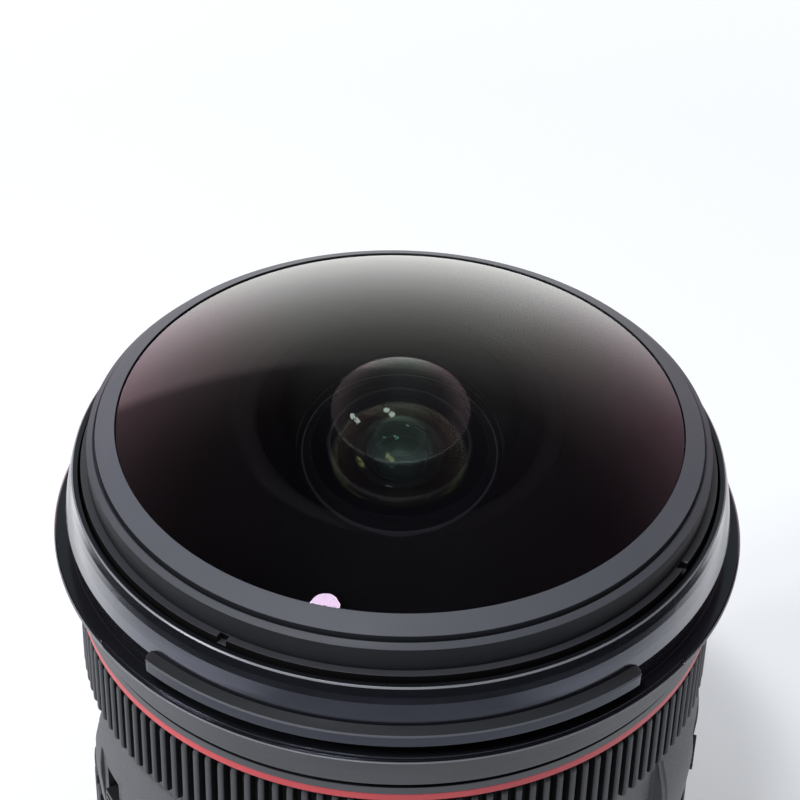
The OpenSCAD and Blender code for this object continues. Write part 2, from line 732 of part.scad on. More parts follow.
module focus_rollers() {
    color([0.7, 0.7, 0.72]) for (a = [60, 180, 300])
        spoke(motor_in_r + 0.2, motor_r - 0.8, roller_r, a, z_roller);
}

module distance_scale() {
    color([0.85, 0.85, 0.82]) rotate_extrude() polygon([[sleeve_r, z_drum], [drum_r, z_drum],
        [drum_r, z_window + window_h / 2 + 1], [drum_r - drum_wall, z_window + window_h / 2 + 1],
        [drum_r - drum_wall, z_drum + 1], [sleeve_r, z_drum + 1]]);
}

module motor_rotor() {
    color([0.65, 0.65, 0.67]) tube(motor_r, motor_in_r, z_rotor, z_rotor + rotor_h);
}

// front group
module front_cell() {
    color([0.09, 0.09, 0.1]) difference() {
        union() {
            rotate_extrude() polygon([[hub_r - 0.5, z_cell], [cell_r - 0.2, z_cell], [cell_r, z_cell + 0.2],
                [cell_r, z_cell_top], [bore_r, z_cell_top], [bore_r, z_seat], [bore_r - 3.6, z_seat],
                [bore_r - 3.6, z_cell + cell_floor], [hub_r - 0.5, z_cell + cell_floor]]);
            tube(hub_r, second_r + glass_gap, z_second, z_second_ring);
            tube(hub_r, second_bowl - 0.6, z_second - 1.6, z_second);
            tube(doublet_r + 1.8, doublet_r + glass_gap, z_doublet, z_second - 1.6);
            tube(doublet_r + 1.8, doublet_r - 1, z_doublet - 1, z_doublet);
            tube(skirt_r, skirt_in_r, z_front_pin - 2.5, z_cell + 0.5);
            for (a = [0, 120, 240]) spoke(skirt_r - 0.5, sleeve_r - 0.1, pin_r, a, z_front_pin);
        }
        for (i = [0 : notch_count - 1]) rotate([0, 0, -120 + 360 * i / notch_count])
            translate([retainer_r + 0.02, -notch_w / 2, z_cell_top - 0.8]) cube([4, notch_w, 2]);
    }
}

module front_retaining_ring() {
    color([0.22, 0.22, 0.24]) rotate_extrude() polygon([[bore_r, z_cell_top], [retainer_r, z_cell_top],
        [retainer_r, dome(clear_r) - 1.95], [retainer_r - 0.7, dome(clear_r) - 1.5],
        [retainer_r - 0.95, dome(clear_r) - 1.95], [retainer_r - 1, dome(clear_r) - 0.95],
        [clear_r, dome(clear_r) + 0.2], [clear_r, dome(clear_r) + 0.04],
        [glass_r, dome(glass_r) + 0.04], [bore_r, dome(glass_r) - 0.06]]);
}

module second_retainer() {
    color([0.08, 0.08, 0.08]) rotate_extrude() polygon([[second_r + 0.08, z_second_ring],
        [hub_r, z_second_ring], [hub_r - 0.3, z_second_ring + 0.5], [second_clear_r, z_second_ring + 0.5],
        [second_clear_r, z_second_ring + 0.1]]);
}

module front_element() {
    color([0.3, 0.3, 0.36, 0.5]) difference() {
        intersection() {
            plug(glass_r, z_seat, apex + 1);
            face_up(front_curve, apex);
        }
        face_up(front_bowl, apex - front_t);
    }
}

module second_element() {
    color([0.3, 0.32, 0.36, 0.5]) difference() {
        intersection() {
            plug(second_r, z_second, second_apex + 1);
            face_up(second_curve, second_apex);
        }
        face_up(second_bowl, second_apex - 1.85);
    }
}

module front_doublet() {
    color([0.3, 0.34, 0.38, 0.5]) {
        difference() {
            plug(doublet_r, z_doublet, z_doublet + 5.8);
            face_down(30, z_doublet + 4);
            face_up(16, z_doublet + 3);
        }
        intersection() {
            plug(doublet_r - 1.4, z_doublet - 4, z_doublet + 4);
            face_up(16, z_doublet + 3);
            face_down(24, z_doublet - 3);
        }
    }
}

// middle group
module mid_cell() {
    color([0.1, 0.1, 0.11]) union() {
        tube(skirt_r, skirt_in_r, z_mid_pin - 2.6, z_mid_glass + 10);
        tube(skirt_in_r + 0.3, mid_glass_r + 1, z_mid_glass + 4, z_mid_glass + 5.4);
        tube(mid_glass_r + 2.2, mid_glass_r + glass_gap, z_mid_glass - 0.5, z_mid_glass + 10);
        tube(mid_glass_r + 1, mid_glass_r - 0.8, z_mid_glass - 0.7, z_mid_glass);
        tube(mid_glass_r + 1, mid_glass_r - 0.6, z_mid_glass + 6.1, z_mid_seat);
        for (a = [60, 180, 300]) spoke(skirt_r - 0.5, cam_r - 0.1, pin_r, a, z_mid_pin);
    }
}

module mid_element() {
    color([0.3, 0.34, 0.38, 0.5]) intersection() {
        plug(mid_glass_r, z_mid_glass + 5, z_mid_glass + 11);
        face_up(mid_curve, z_mid_back + glass_edge + 2 * sag(mid_curve, mid_glass_r));
        face_down(mid_curve, z_mid_back);
    }
}

module mid_doublet() {
    color([0.3, 0.34, 0.38, 0.5]) {
        intersection() {
            plug(mid_glass_r, z_mid_glass + 3, z_mid_glass + 6);
            face_up(22, z_mid_glass + 3 + glass_edge + sag(22, mid_glass_r));
        }
        difference() {
            plug(mid_glass_r, z_mid_glass, z_mid_glass + 3);
            face_up(18, z_mid_glass + 2);
        }
    }
}

// rear group
module rear_cell() {
    color([0.1, 0.1, 0.11]) union() {
            tube(last_r + 2.2, rear_glass_r + glass_gap, z_last_seat, z_iris - 1);
            tube(last_r + 2.2, last_r + glass_gap, z_rear_glass, z_last_seat);
            tube(rear_glass_r + 1, rear_glass_r - 1.2, z_rear_glass + 4.8, z_rear_glass + 5.2);
            tube(rear_glass_r + 1, rear_glass_r - 1.2, z_rear_glass + 9.6, z_rear_seat);
            tube(skirt_r - 0.6, last_r + 1, z_rear_glass + 4.2, z_rear_glass + 5.6);
            tube(skirt_r, skirt_in_r, z_rear_glass + 4.2, z_rear_pin + 2.3);
            for (a = [0, 120, 240]) spoke(skirt_r - 0.5, cam_r - 0.1, pin_r, a, z_rear_pin);
    }
}

module rear_retainer() {
    color([0.08, 0.08, 0.08]) tube(last_r + glass_gap, last_r - 1, z_rear_glass, z_last_ring);
}

module rear_element() {
    color([0.3, 0.34, 0.38, 0.5]) intersection() {
        plug(rear_glass_r, z_rear_glass + 9, z_rear_glass + 14);
        face_up(rear_curve, z_rear_back + glass_edge + sag(rear_curve, rear_glass_r)
            + sag(rear_back_curve, rear_glass_r));
        face_down(rear_back_curve, z_rear_back);
    }
}

module rear_doublet() {
    color([0.3, 0.34, 0.38, 0.5]) {
        intersection() {
            plug(rear_glass_r, z_rear_glass + 7.2, z_rear_glass + 10);
            face_up(30, z_rear_glass + 7.2 + glass_edge + sag(30, rear_glass_r));
        }
        difference() {
            plug(rear_glass_r, z_rear_glass + 5.2, z_rear_glass + 7.2);
            face_up(25, z_rear_glass + 6.4);
        }
    }
}

module last_element() {
    color([0.3, 0.34, 0.38, 0.5]) intersection() {
        plug(last_r, z_rear_glass, z_rear_glass + 5);
        face_up(last_curve, z_last_top);
        face_down(last_back_curve, z_last_back);
    }
}

// iris
module iris_base() {
    color([0.12, 0.12, 0.12]) union() {
        tube(iris_out_r, iris_r, z_iris - 1, z_iris);
        tube(iris_out_r, iris_ring_r + 0.1, z_iris - 0.5, z_iris + iris_stack);
        for (i = [0 : blade_count - 1]) rotate([0, 0, 360 * i / blade_count])
            translate([pivot_circle_r, 0, z_iris - 0.5]) cylinder(r = pivot_r, h = iris_stack + 0.45);
    }
}

module iris_cover() {
    color([0.12, 0.12, 0.12]) tube(iris_out_r, iris_r, z_iris + iris_stack, z_iris + iris_stack + 0.6);
}

module iris_motor() {
    color([0.5, 0.5, 0.52]) rotate([0, 0, 30]) translate([last_r + 2.2 + 3.2, 0, z_rear_glass + 5.6])
        cylinder(r = 3.2, h = z_iris - 1 - z_rear_glass - 5.6);
}

module iris_ring() {
    color([0.3, 0.3, 0.3]) difference() {
        tube(iris_ring_r, iris_ring_in_r, z_iris + 0.05, z_iris + iris_stack - 0.05);
        for (i = [0 : blade_count - 1]) rotate([0, 0, 360 * i / blade_count])
            translate([iris_ring_in_r - 1, -0.48, z_iris - 1]) cube([1.75, 0.96, iris_stack + 2]);
    }
}

module iris_blade(k) {
    z0 = z_iris + 0.08 + (k - 1) * blade_pitch;
    color([0.25, 0.25, 0.26]) rotate([0, 0, 360 * (k - 1) / blade_count]) difference() {
        union() {
            sector(pivot_circle_r - 0.8, iris_r + 0.2, z0, z0 + blade_t, -5, blade_deg - 5);
            translate([pivot_circle_r, 0, z0]) cylinder(r = 1.1, h = blade_t);
            translate([pivot_circle_r - 1.4, -1, z0]) cube([1.4, 2, blade_t]);
            translate([pivot_circle_r, -0.25, z0]) cube([lever, 0.5, blade_t]);
            translate([pivot_circle_r + lever, 0, z0]) cylinder(r = 0.4, h = blade_t);
        }
        translate([pivot_circle_r, 0, z0 - 1]) cylinder(r = pivot_r + pivot_gap, h = 3);
    }
}

module iris_blade_1() { iris_blade(1); }
module iris_blade_2() { iris_blade(2); }
module iris_blade_3() { iris_blade(3); }
module iris_blade_4() { iris_blade(4); }
module iris_blade_5() { iris_blade(5); }
module iris_blade_6() { iris_blade(6); }
module iris_blade_7() { iris_blade(7); }

// zoom
module zoom_ring() {
    color([0.1, 0.1, 0.11]) tube(zoom_core_r, core_in_r, z_zoom, z_zoom + zoom_h);
}

module zoom_grip() {
    color([0.12, 0.12, 0.12]) difference() {
        translate([0, 0, z_zoom + 0.3]) linear_extrude(zoom_h - 0.6)
            polygon(rib_points(zoom_ribs, zoom_r, zoom_r - zoom_rib, 0.3, 0.06));
        plug(zoom_core_r, z_zoom - 1, z_zoom + zoom_h + 1);
    }
}

module zoom_keys() {
    color([0.6, 0.6, 0.62]) for (a = [0, 120, 240]) sector(core_in_r, cam_r, z_key - zoom_key_h / 2,
        z_key + zoom_key_h / 2, a - zoom_key_deg / 2, a + zoom_key_deg / 2);
}

module cam_barrel() {
    w = 2 * (pin_r + pin_gap);
    color([0.55, 0.55, 0.57]) difference() {
        tube(cam_r, turn_in_r, z_cam, z_cam_top);
        for (a = [0, 120, 240]) {
            cam_slot(turn_in_r - 1, cam_r + 1, w, a, z_rear_pin, zoom_turn, rear_travel, 12);
            cam_slot(turn_in_r - 1, cam_r + 1, w, a + 60, z_mid_pin, zoom_turn, -mid_travel, 12);
        }
    }
}

bayonet_mount();
mount_screws();
mount_seal();
rear_barrel();
index_dot();
contact_block();
contact_pins();
rear_baffle();
circuit_board();
main_barrel();
outer_barrel();
distance_window();
af_switch_plate();
limit_switch_plate();
accent_ring();
name_ring();
hood_collar();
front_sleeve();
guide_tube();
motor_stator();
focus_ring();
focus_grip();
focus_keys();
manual_ring();
focus_cam_sleeve();
focus_rollers();
distance_scale();
motor_rotor();
front_cell();
front_retaining_ring();
second_retainer();
front_element();
second_element();
front_doublet();
mid_cell();
mid_element();
mid_doublet();
rear_cell();
rear_retainer();
rear_element();
rear_doublet();
last_element();
iris_base();
iris_cover();
iris_motor();
iris_ring();
iris_blade_1();
iris_blade_2();
iris_blade_3();
iris_blade_4();
iris_blade_5();
iris_blade_6();
iris_blade_7();
zoom_ring();
zoom_grip();
zoom_keys();
cam_barrel();
af_switch_knob();
limit_switch_knob();
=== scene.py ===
import json
import math
import bmesh
import bpy
from mathutils import Matrix, Vector


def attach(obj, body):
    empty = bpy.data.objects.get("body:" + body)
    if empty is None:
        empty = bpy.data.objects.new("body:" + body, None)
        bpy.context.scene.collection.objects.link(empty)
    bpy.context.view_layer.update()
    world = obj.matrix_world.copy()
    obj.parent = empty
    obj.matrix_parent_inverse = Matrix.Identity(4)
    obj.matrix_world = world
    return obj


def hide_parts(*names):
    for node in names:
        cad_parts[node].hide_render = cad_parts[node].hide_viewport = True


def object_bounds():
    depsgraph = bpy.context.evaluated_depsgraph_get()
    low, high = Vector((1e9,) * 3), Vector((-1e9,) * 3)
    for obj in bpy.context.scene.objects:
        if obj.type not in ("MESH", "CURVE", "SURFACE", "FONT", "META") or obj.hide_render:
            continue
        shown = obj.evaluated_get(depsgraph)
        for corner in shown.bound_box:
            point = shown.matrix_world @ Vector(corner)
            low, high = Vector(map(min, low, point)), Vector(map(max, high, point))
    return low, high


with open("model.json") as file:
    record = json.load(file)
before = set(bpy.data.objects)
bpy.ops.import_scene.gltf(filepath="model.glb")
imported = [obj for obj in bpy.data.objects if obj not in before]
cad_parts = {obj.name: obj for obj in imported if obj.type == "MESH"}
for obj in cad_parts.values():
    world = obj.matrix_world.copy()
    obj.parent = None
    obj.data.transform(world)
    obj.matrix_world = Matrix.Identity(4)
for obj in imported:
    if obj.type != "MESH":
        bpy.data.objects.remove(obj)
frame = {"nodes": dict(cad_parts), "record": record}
cadLow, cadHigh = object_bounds()
nodes = frame["nodes"]
nodeSlot = {row["node"]: row["material_slot"] for row in frame["record"]["subparts"]}
scene = bpy.context.scene
scene.view_settings.view_transform = "Standard"
mm = 0.001
fullTurn = 2 * math.pi
ringSteps = 256  # columns round a turned piece
print("frame:", len(nodes), "nodes")


# camera, at the angle of the photograph
shot = {"focalPixels": 2596, "imagePixels": 800, "sensor": 36, "clip": (0.01, 30),
        "place": (0, -225.6, 256.1), "aimHeight": 74.2, "tiltUp": 0.415, "panLeft": 0.011, "roll": 1.63}


def makeCamera():
    data = bpy.data.cameras.new("shotCamera")
    data.sensor_width = shot["sensor"]
    data.lens = shot["sensor"] * shot["focalPixels"] / shot["imagePixels"]
    data.clip_start, data.clip_end = shot["clip"]
    camera = bpy.data.objects.new("shotCamera", data)
    scene.collection.objects.link(camera)
    place = Vector(shot["place"]) * mm
    ahead = Vector((0, 0, shot["aimHeight"] * mm)) - place
    turn = ahead.to_track_quat("-Z", "Y").to_matrix().to_4x4()
    for label, axis in (("roll", "Z"), ("tiltUp", "X"), ("panLeft", "Y")):
        turn = turn @ Matrix.Rotation(math.radians(shot[label]), 4, axis)
    camera.matrix_world = Matrix.Translation(place) @ turn
    scene.camera = camera


makeCamera()
print("camera set")


# finishes: procedural, on object coordinates
def addNode(tree, kind, values=None, **settings):
    node = tree.nodes.new(kind)
    for key, value in settings.items():
        setattr(node, key, value)
    for key, value in (values or {}).items():
        node.inputs[key].default_value = value
    return node


def fade(tree, source, span, ends=(0.0, 1.0)):
    node = addNode(tree, "ShaderNodeMapRange", {"From Min": span[0], "From Max": span[1],
                                                "To Min": ends[0], "To Max": ends[1]})
    tree.links.new(source, node.inputs["Value"])
    return node.outputs[0]


def mathNode(tree, kind, *sources):
    node = addNode(tree, "ShaderNodeMath", operation=kind)
    for source, socket in zip(sources, node.inputs):
        tree.links.new(source, socket)
    return node.outputs[0]


def newMaterial(name):
    material = bpy.data.materials.new(name)
    material.use_nodes = True
    return material, material.node_tree, material.node_tree.nodes["Principled BSDF"]


def mottle(tree, shader, noise, tones, spots=(0.0, 1.0)):
    # the base colour wanders between two tones
    ramp = addNode(tree, "ShaderNodeValToRGB")
    for stop, spot, tone in zip(ramp.color_ramp.elements, spots, tones):
        stop.position, stop.color = spot, (*tone, 1)
    tree.links.new(noise.outputs[0], ramp.inputs[0])
    tree.links.new(ramp.outputs[0], shader.inputs["Base Color"])


def grainNode(tree, scale, detail=3.0, turned=0.0):
    # turned is how far the grain is drawn out along the lathe marks
    coords = addNode(tree, "ShaderNodeTexCoord")
    noise = addNode(tree, "ShaderNodeTexNoise", {"Scale": scale, "Detail": detail})
    if not turned:
        tree.links.new(coords.outputs["Object"], noise.inputs["Vector"])
        return noise
    noise.noise_dimensions = "4D"
    split = addNode(tree, "ShaderNodeSeparateXYZ")
    tree.links.new(coords.outputs["Object"], split.inputs[0])
    flat = addNode(tree, "ShaderNodeCombineXYZ")
    joined = addNode(tree, "ShaderNodeCombineXYZ")
    reach = addNode(tree, "ShaderNodeVectorMath", operation="LENGTH")
    for axis, other in (("X", "Y"), ("Y", "Z")):
        tree.links.new(split.outputs[axis], flat.inputs[axis])
        slow = addNode(tree, "ShaderNodeMath", {1: 1 / turned}, operation="MULTIPLY")
        tree.links.new(split.outputs[axis], slow.inputs[0])
        tree.links.new(slow.outputs[0], joined.inputs[other])
    tree.links.new(flat.outputs[0], reach.inputs[0])
    tree.links.new(reach.outputs["Value"], joined.inputs["X"])
    tree.links.new(joined.outputs[0], noise.inputs["Vector"])
    tree.links.new(split.outputs["Z"], noise.inputs["W"])
    return noise


noiseSpan = (0.3, 0.7)  # where most of the noise lies
usualLook = {"broad": 60, "broadDetail": 4.0, "bumpStrength": 0.5}
socketNames = {"specular": "Specular IOR Level", "metallic": "Metallic", "tint": "Specular Tint",
               "coat": "Coat Weight", "coatRough": "Coat Roughness"}


def makeFinish(name, look):
    look = {**usualLook, **look}
    finish, tree, shader = newMaterial(name)
    for key, socket in socketNames.items():
        if key in look:
            shader.inputs[socket].default_value = look[key]
    broad = grainNode(tree, look["broad"], look["broadDetail"])
    mottle(tree, shader, broad, (look["dark"], look["light"]), noiseSpan)
    fine = grainNode(tree, look["grain"], turned=look.get("turned", 0))
    tree.links.new(fade(tree, fine.outputs[0], noiseSpan, look["rough"]), shader.inputs["Roughness"])
    if look.get("bump"):
        bump = addNode(tree, "ShaderNodeBump",
                       {"Strength": look["bumpStrength"], "Distance": look["bump"] * mm})
        tree.links.new(fine.outputs[0], bump.inputs["Height"])
        tree.links.new(bump.outputs[0], shader.inputs["Normal"])
    return finish


finishLooks = {
    # painted light: the next three tones are lit, half-lit and shaded copies of one black anodised finish
    "ringFace": {"dark": (0.089, 0.0945, 0.114), "light": (0.100, 0.1055, 0.127), "grain": 5200, "turned": 60,
                 "rough": (0.5, 0.6), "bump": 0.002, "specular": 0.3},
    "bandFace": {"dark": (0.068, 0.0722, 0.087), "light": (0.078, 0.0826, 0.100), "grain": 5200, "turned": 60,
                 "rough": (0.46, 0.58), "bump": 0.002, "specular": 0.3},
    "ringWall": {"dark": (0.013, 0.0138, 0.017), "light": (0.018, 0.019, 0.0235), "grain": 5200, "turned": 60,
                 "rough": (0.5, 0.62), "bump": 0.003, "specular": 0.15},
    # painted highlight: a light finish laid on edges where bright lines show
    "edgeShine": {"dark": (0.18, 0.19, 0.215), "light": (0.28, 0.29, 0.325), "grain": 4200, "turned": 30,
                  "rough": (0.3, 0.42), "bump": 0.002, "metallic": 0.2},
    # painted light: a lighter, rougher copy of the gloss coat for the lit tops of the lugs
    "lugFace": {"dark": (0.014, 0.0148, 0.018), "light": (0.020, 0.021, 0.0255), "grain": 5200, "turned": 60,
                "rough": (0.3, 0.4), "bump": 0.002, "specular": 0.7},
    # painted shade: a darker copy of the lit ring tone for the partly shaded ledge of the cell
    "ledgeFace": {"dark": (0.038, 0.040, 0.048), "light": (0.047, 0.049, 0.059), "grain": 5200, "turned": 60,
                  "rough": (0.36, 0.48), "bump": 0.002, "specular": 0.4},
    "flatBlack": {"dark": (0.006, 0.006, 0.007), "light": (0.011, 0.011, 0.012), "grain": 4000,
                  "rough": (0.7, 0.85), "bump": 0.01, "specular": 0.25},
    # black paint for glass edges and retainers, also laid on the cell's walls as painted shade
    "edgePaint": {"dark": (0.0035, 0.0035, 0.004), "light": (0.005, 0.005, 0.0055), "grain": 3000,
                  "rough": (0.8, 0.9), "specular": 0.1},
    "glossCoat": {"dark": (0.007, 0.0075, 0.0095), "light": (0.010, 0.0105, 0.013), "grain": 900, "turned": 4,
                  "rough": (0.14, 0.2), "bump": 0.002, "bumpStrength": 0.25, "specular": 0.45,
                  "tint": (0.64, 0.7, 1.0, 1), "coat": 0.15, "coatRough": 0.1},
    "satinRing": {"dark": (0.037, 0.039, 0.048), "light": (0.048, 0.050, 0.062), "grain": 4200, "turned": 40,
                  "rough": (0.4, 0.52), "bump": 0.006, "specular": 0.7},
    "redPaint": {"dark": (0.56, 0.045, 0.055), "light": (0.66, 0.065, 0.078), "grain": 2600,
                 "rough": (0.34, 0.46), "bump": 0.003, "specular": 0.5},
    "gripRubber": {"dark": (0.042, 0.0445, 0.052), "light": (0.060, 0.063, 0.072), "grain": 5200,
                   "rough": (0.5, 0.66), "bump": 0.01, "specular": 0.5},
    # painted shade: a darker rubber for the grooves between the ribs
    "grooveRubber": {"dark": (0.007, 0.007, 0.008), "light": (0.012, 0.012, 0.014), "grain": 5200,
                     "rough": (0.7, 0.85), "bump": 0.01, "specular": 0.15},
    "barrelPaint": {"dark": (0.074, 0.076, 0.086), "light": (0.094, 0.096, 0.107), "grain": 3400,
                    "rough": (0.46, 0.62), "bump": 0.02, "specular": 0.6},
    "platePlastic": {"dark": (0.026, 0.027, 0.030), "light": (0.036, 0.037, 0.041), "grain": 5200,
                     "rough": (0.36, 0.5), "bump": 0.008, "specular": 0.5},
    "knobPlastic": {"dark": (0.012, 0.012, 0.014), "light": (0.020, 0.020, 0.022), "grain": 4200,
                    "rough": (0.32, 0.46), "bump": 0.008, "specular": 0.5},
    "chromePlate": {"dark": (0.60, 0.61, 0.63), "light": (0.70, 0.71, 0.73), "grain": 5200, "turned": 80,
                    "rough": (0.14, 0.26), "bump": 0.004, "metallic": 1.0},
    "screwSteel": {"dark": (0.50, 0.50, 0.52), "light": (0.62, 0.62, 0.64), "grain": 4200,
                   "rough": (0.2, 0.34), "bump": 0.004, "metallic": 1.0},
    "innerAlloy": {"dark": (0.44, 0.44, 0.46), "light": (0.56, 0.56, 0.58), "grain": 3600, "turned": 60,
                   "rough": (0.28, 0.42), "bump": 0.005, "metallic": 1.0},
    "contactGold": {"dark": (0.70, 0.50, 0.19), "light": (0.82, 0.61, 0.26), "grain": 5200,
                    "rough": (0.16, 0.3), "bump": 0.003, "metallic": 1.0},
    "boardGreen": {"dark": (0.012, 0.075, 0.032), "light": (0.03, 0.13, 0.055), "grain": 2200,
                   "rough": (0.3, 0.5), "bump": 0.01},
    "sealRubber": {"dark": (0.016, 0.016, 0.017), "light": (0.026, 0.026, 0.028), "grain": 4200,
                   "rough": (0.6, 0.8), "bump": 0.015},
    "scaleDrum": {"dark": (0.012, 0.012, 0.013), "light": (0.020, 0.020, 0.021), "grain": 4200,
                  "rough": (0.5, 0.65), "bump": 0.004},
    "markWhite": {"dark": (0.66, 0.66, 0.64), "light": (0.78, 0.78, 0.76), "grain": 3600,
                  "rough": (0.45, 0.6), "bump": 0.004},
    "bladeSteel": {"dark": (0.05, 0.05, 0.052), "light": (0.09, 0.09, 0.094), "grain": 3600,
                   "rough": (0.4, 0.55), "bump": 0.003, "metallic": 0.8},
}
finishes = {name: makeFinish(name, look) for name, look in finishLooks.items()}

# coated glass: a weak tinted reflection that grows towards grazing angles
glassLooks = {
    "domeGlass": {"clear": (0.92, 0.92, 0.93), "film": (0.90, 0.905, 0.92), "ior": 1.77,
                  "coat": (0.2, 0.15, 0.21)},
    "bowlGlass": {"clear": (0.92, 0.93, 0.92), "film": (0.90, 0.915, 0.90), "ior": 1.77,
                  "coat": (0.30, 0.35, 0.33)},
    "secondGlass": {"clear": (0.93, 0.93, 0.90), "film": (0.91, 0.91, 0.88), "ior": 1.7,
                    "coat": (0.13, 0.145, 0.045)},
    "secondBack": {"clear": (0.93, 0.93, 0.90), "film": (0.91, 0.91, 0.88), "ior": 1.7,
                   "coat": (0.1, 0.3, 0.2)},
    "innerGlass": {"clear": (0.86, 0.93, 0.93), "film": (0.84, 0.91, 0.91), "ior": 1.65,
                   "coat": (0.22, 0.36, 0.36)},
    "windowPlastic": {"clear": (0.93, 0.94, 0.94), "film": (0.9, 0.91, 0.91), "ior": 1.49, "coat": (1, 1, 1)},
}
filmGrain = {"scale": 45, "detail": 5.0}


def makeGlass(name, look):
    glass, tree, shader = newMaterial(name)
    shader.inputs["Transmission Weight"].default_value = 1
    shader.inputs["IOR"].default_value = look["ior"]
    shader.inputs["Roughness"].default_value = 0
    shader.inputs["Specular Tint"].default_value = (*look["coat"], 1)
    mottle(tree, shader, grainNode(tree, **filmGrain), (look["film"], look["clear"]))
    return glass


finishes.update({name: makeGlass(name, look) for name, look in glassLooks.items()})
slotFinish = {"chrome": "chromePlate", "steel": "screwSteel", "alloy": "innerAlloy",
              "black_alloy": "flatBlack", "gloss_black": "glossCoat", "barrel_black": "barrelPaint",
              "dark_plastic": "platePlastic", "rubber": "gripRubber", "red": "redPaint",
              "gold": "contactGold", "board": "boardGreen", "white_scale": "scaleDrum",
              "optic": "innerGlass", "window": "windowPlastic"}
print("finishes:", len(finishes))


# mesh helpers
def linkMesh(name, mesh):
    piece = bpy.data.objects.new(name, mesh)
    scene.collection.objects.link(piece)
    return piece


def cleanMesh(mesh, merge=0.000002, outward=True):
    work = bmesh.new()
    work.from_mesh(mesh)
    bmesh.ops.remove_doubles(work, verts=work.verts, dist=merge)
    bmesh.ops.dissolve_degenerate(work, edges=work.edges, dist=merge / 4)
    if outward:
        bmesh.ops.recalc_face_normals(work, faces=work.faces)
    work.to_mesh(mesh)
    work.free()


def settle(piece):
    # the evaluated result becomes the piece's own plain mesh
    graph = bpy.context.evaluated_depsgraph_get()
    done = bpy.data.meshes.new_from_object(piece.evaluated_get(graph), preserve_all_data_layers=True,
                                           depsgraph=graph)
    piece.modifiers.clear()
    old = piece.data
    piece.data = done
    bpy.data.meshes.remove(old)
    done.name = piece.name


def evenShade(piece, keepSharp=False):
    piece.data.shade_smooth()
    weigh = piece.modifiers.new("evenShade", "WEIGHTED_NORMAL")
    weigh.mode, weigh.weight, weigh.keep_sharp = "FACE_AREA", 50, keepSharp
    settle(piece)


def roundCorners(outline, radius, steps=3, maxBend=2.6, maxShare=0.42):
    rounded = []
    count = len(outline)
    for i in range(count):
        before, here, after = (Vector(outline[(i + k) % count]) for k in (-1, 0, 1))
        back, on = before - here, after - here
        bend = math.pi - back.angle(on, math.pi)
        cut = min(radius * math.tan(min(bend, maxBend) / 2), maxShare * back.length, maxShare * on.length)
        start, end = here + back.normalized() * cut, here + on.normalized() * cut
        for k in range(steps + 1):
            t = k / steps
            rounded.append((1 - t) ** 2 * start + 2 * t * (1 - t) * here + t * t * end)
    return rounded


def ringMesh(name, columns, angles, ends=False):
    # columns of (radius, height) in mm, one for each angle, joined into a ring or a bar
    count, total = len(columns[0]), len(columns)
    verts = [(p[0] * math.cos(a) * mm, p[0] * math.sin(a) * mm, p[1] * mm)
             for column, a in zip(columns, angles) for p in column]
    faces = []
    for i in range(total - 1 if ends else total):
        for k in range(count):
            n, j = (k + 1) % count, (i + 1) % total
            if columns[i][k][0] + columns[i][n][0] > 1e-6:
                faces.append((i * count + k, i * count + n, j * count + n, j * count + k))
    if ends:
        faces += [tuple(range(count)), tuple(range((total - 1) * count, total * count))]
    mesh = bpy.data.meshes.new(name)
    mesh.from_pydata(verts, [], faces)
    cleanMesh(mesh)
    return mesh


def lathe(name, outline, radius=0.12, steps=ringSteps):
    column = roundCorners(outline, radius) if radius else [Vector(p) for p in outline]
    return linkMesh(name, ringMesh(name, [column] * steps, [fullTurn * i / steps for i in range(steps)]))


def arcBar(name, outline, startDeg, endDeg, endRound, radius=0.12, step=1.0, endSteps=6):
    # a bar bent round the axis, whose outer corners are rounded off at both ends
    column = roundCorners(outline, radius)
    outer, inner = max(p.x for p in column), min(p.x for p in column)
    span = math.degrees(endRound / outer)
    count = math.ceil((endDeg - startDeg) / step)
    first = [startDeg + span * (1 - math.cos(k / endSteps * math.pi / 2)) for k in range(endSteps + 1)]
    angles = first + [startDeg + span + (endDeg - startDeg - 2 * span) * k / count for k in range(1, count)]
    angles += [endDeg - (angle - startDeg) for angle in first[::-1]]
    columns = []
    for angle in angles:
        near = min(angle - startDeg, endDeg - angle, span) / span
        pull = endRound * (1 - math.sqrt(max(0, 1 - (1 - near) ** 2)))
        columns.append([Vector((p.x - pull * (p.x - inner) / (outer - inner), p.y)) for p in column])
    return linkMesh(name, ringMesh(name, columns, [math.radians(a) for a in angles], ends=True))


def joinPieces(main, *others):
    work = bmesh.new()
    for piece in (main, *others):
        work.from_mesh(piece.data)
    work.to_mesh(main.data)
    work.free()
    for piece in others:
        bpy.data.objects.remove(piece)
    return main


def cadCopy(name, node, bevel=0.0, sharpDeg=30, flatDeg=0.3):
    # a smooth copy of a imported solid, with its edges softened
    mesh = nodes[node].data.copy()
    mesh.materials.clear()
    cleanMesh(mesh, outward=False)
    work = bmesh.new()
    work.from_mesh(mesh)
    bmesh.ops.dissolve_limit(work, angle_limit=math.radians(flatDeg), verts=work.verts, edges=work.edges)
    work.to_mesh(mesh)
    work.free()
    piece = linkMesh(name, mesh)
    mesh.shade_smooth()
    mesh.set_sharp_from_angle(angle=math.radians(sharpDeg))
    if bevel:
        soft = piece.modifiers.new("softEdge", "BEVEL")
        soft.width, soft.segments, soft.limit_method = bevel * mm, 2, "ANGLE"
        soft.angle_limit, soft.use_clamp_overlap = math.radians(sharpDeg), False
        settle(piece)
        evenShade(piece)
    else:
        evenShade(piece, keepSharp=True)
    return piece


def dress(piece, finish, body, slot, *stoodFor):
    piece.data.materials.clear()
    for each in ([finish] if isinstance(finish, str) else finish):
        piece.data.materials.append(finishes[each])
    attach(piece, body)
    if stoodFor:
        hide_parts(*stoodFor)
    return piece


def paintFaces(piece, index, where):
    # where takes a face's radius and height in mm and how far it looks up
    for face in piece.data.polygons:
        middle = face.center / mm
        if where(math.hypot(middle.x, middle.y), middle.z, face.normal.z):
            face.material_index = index


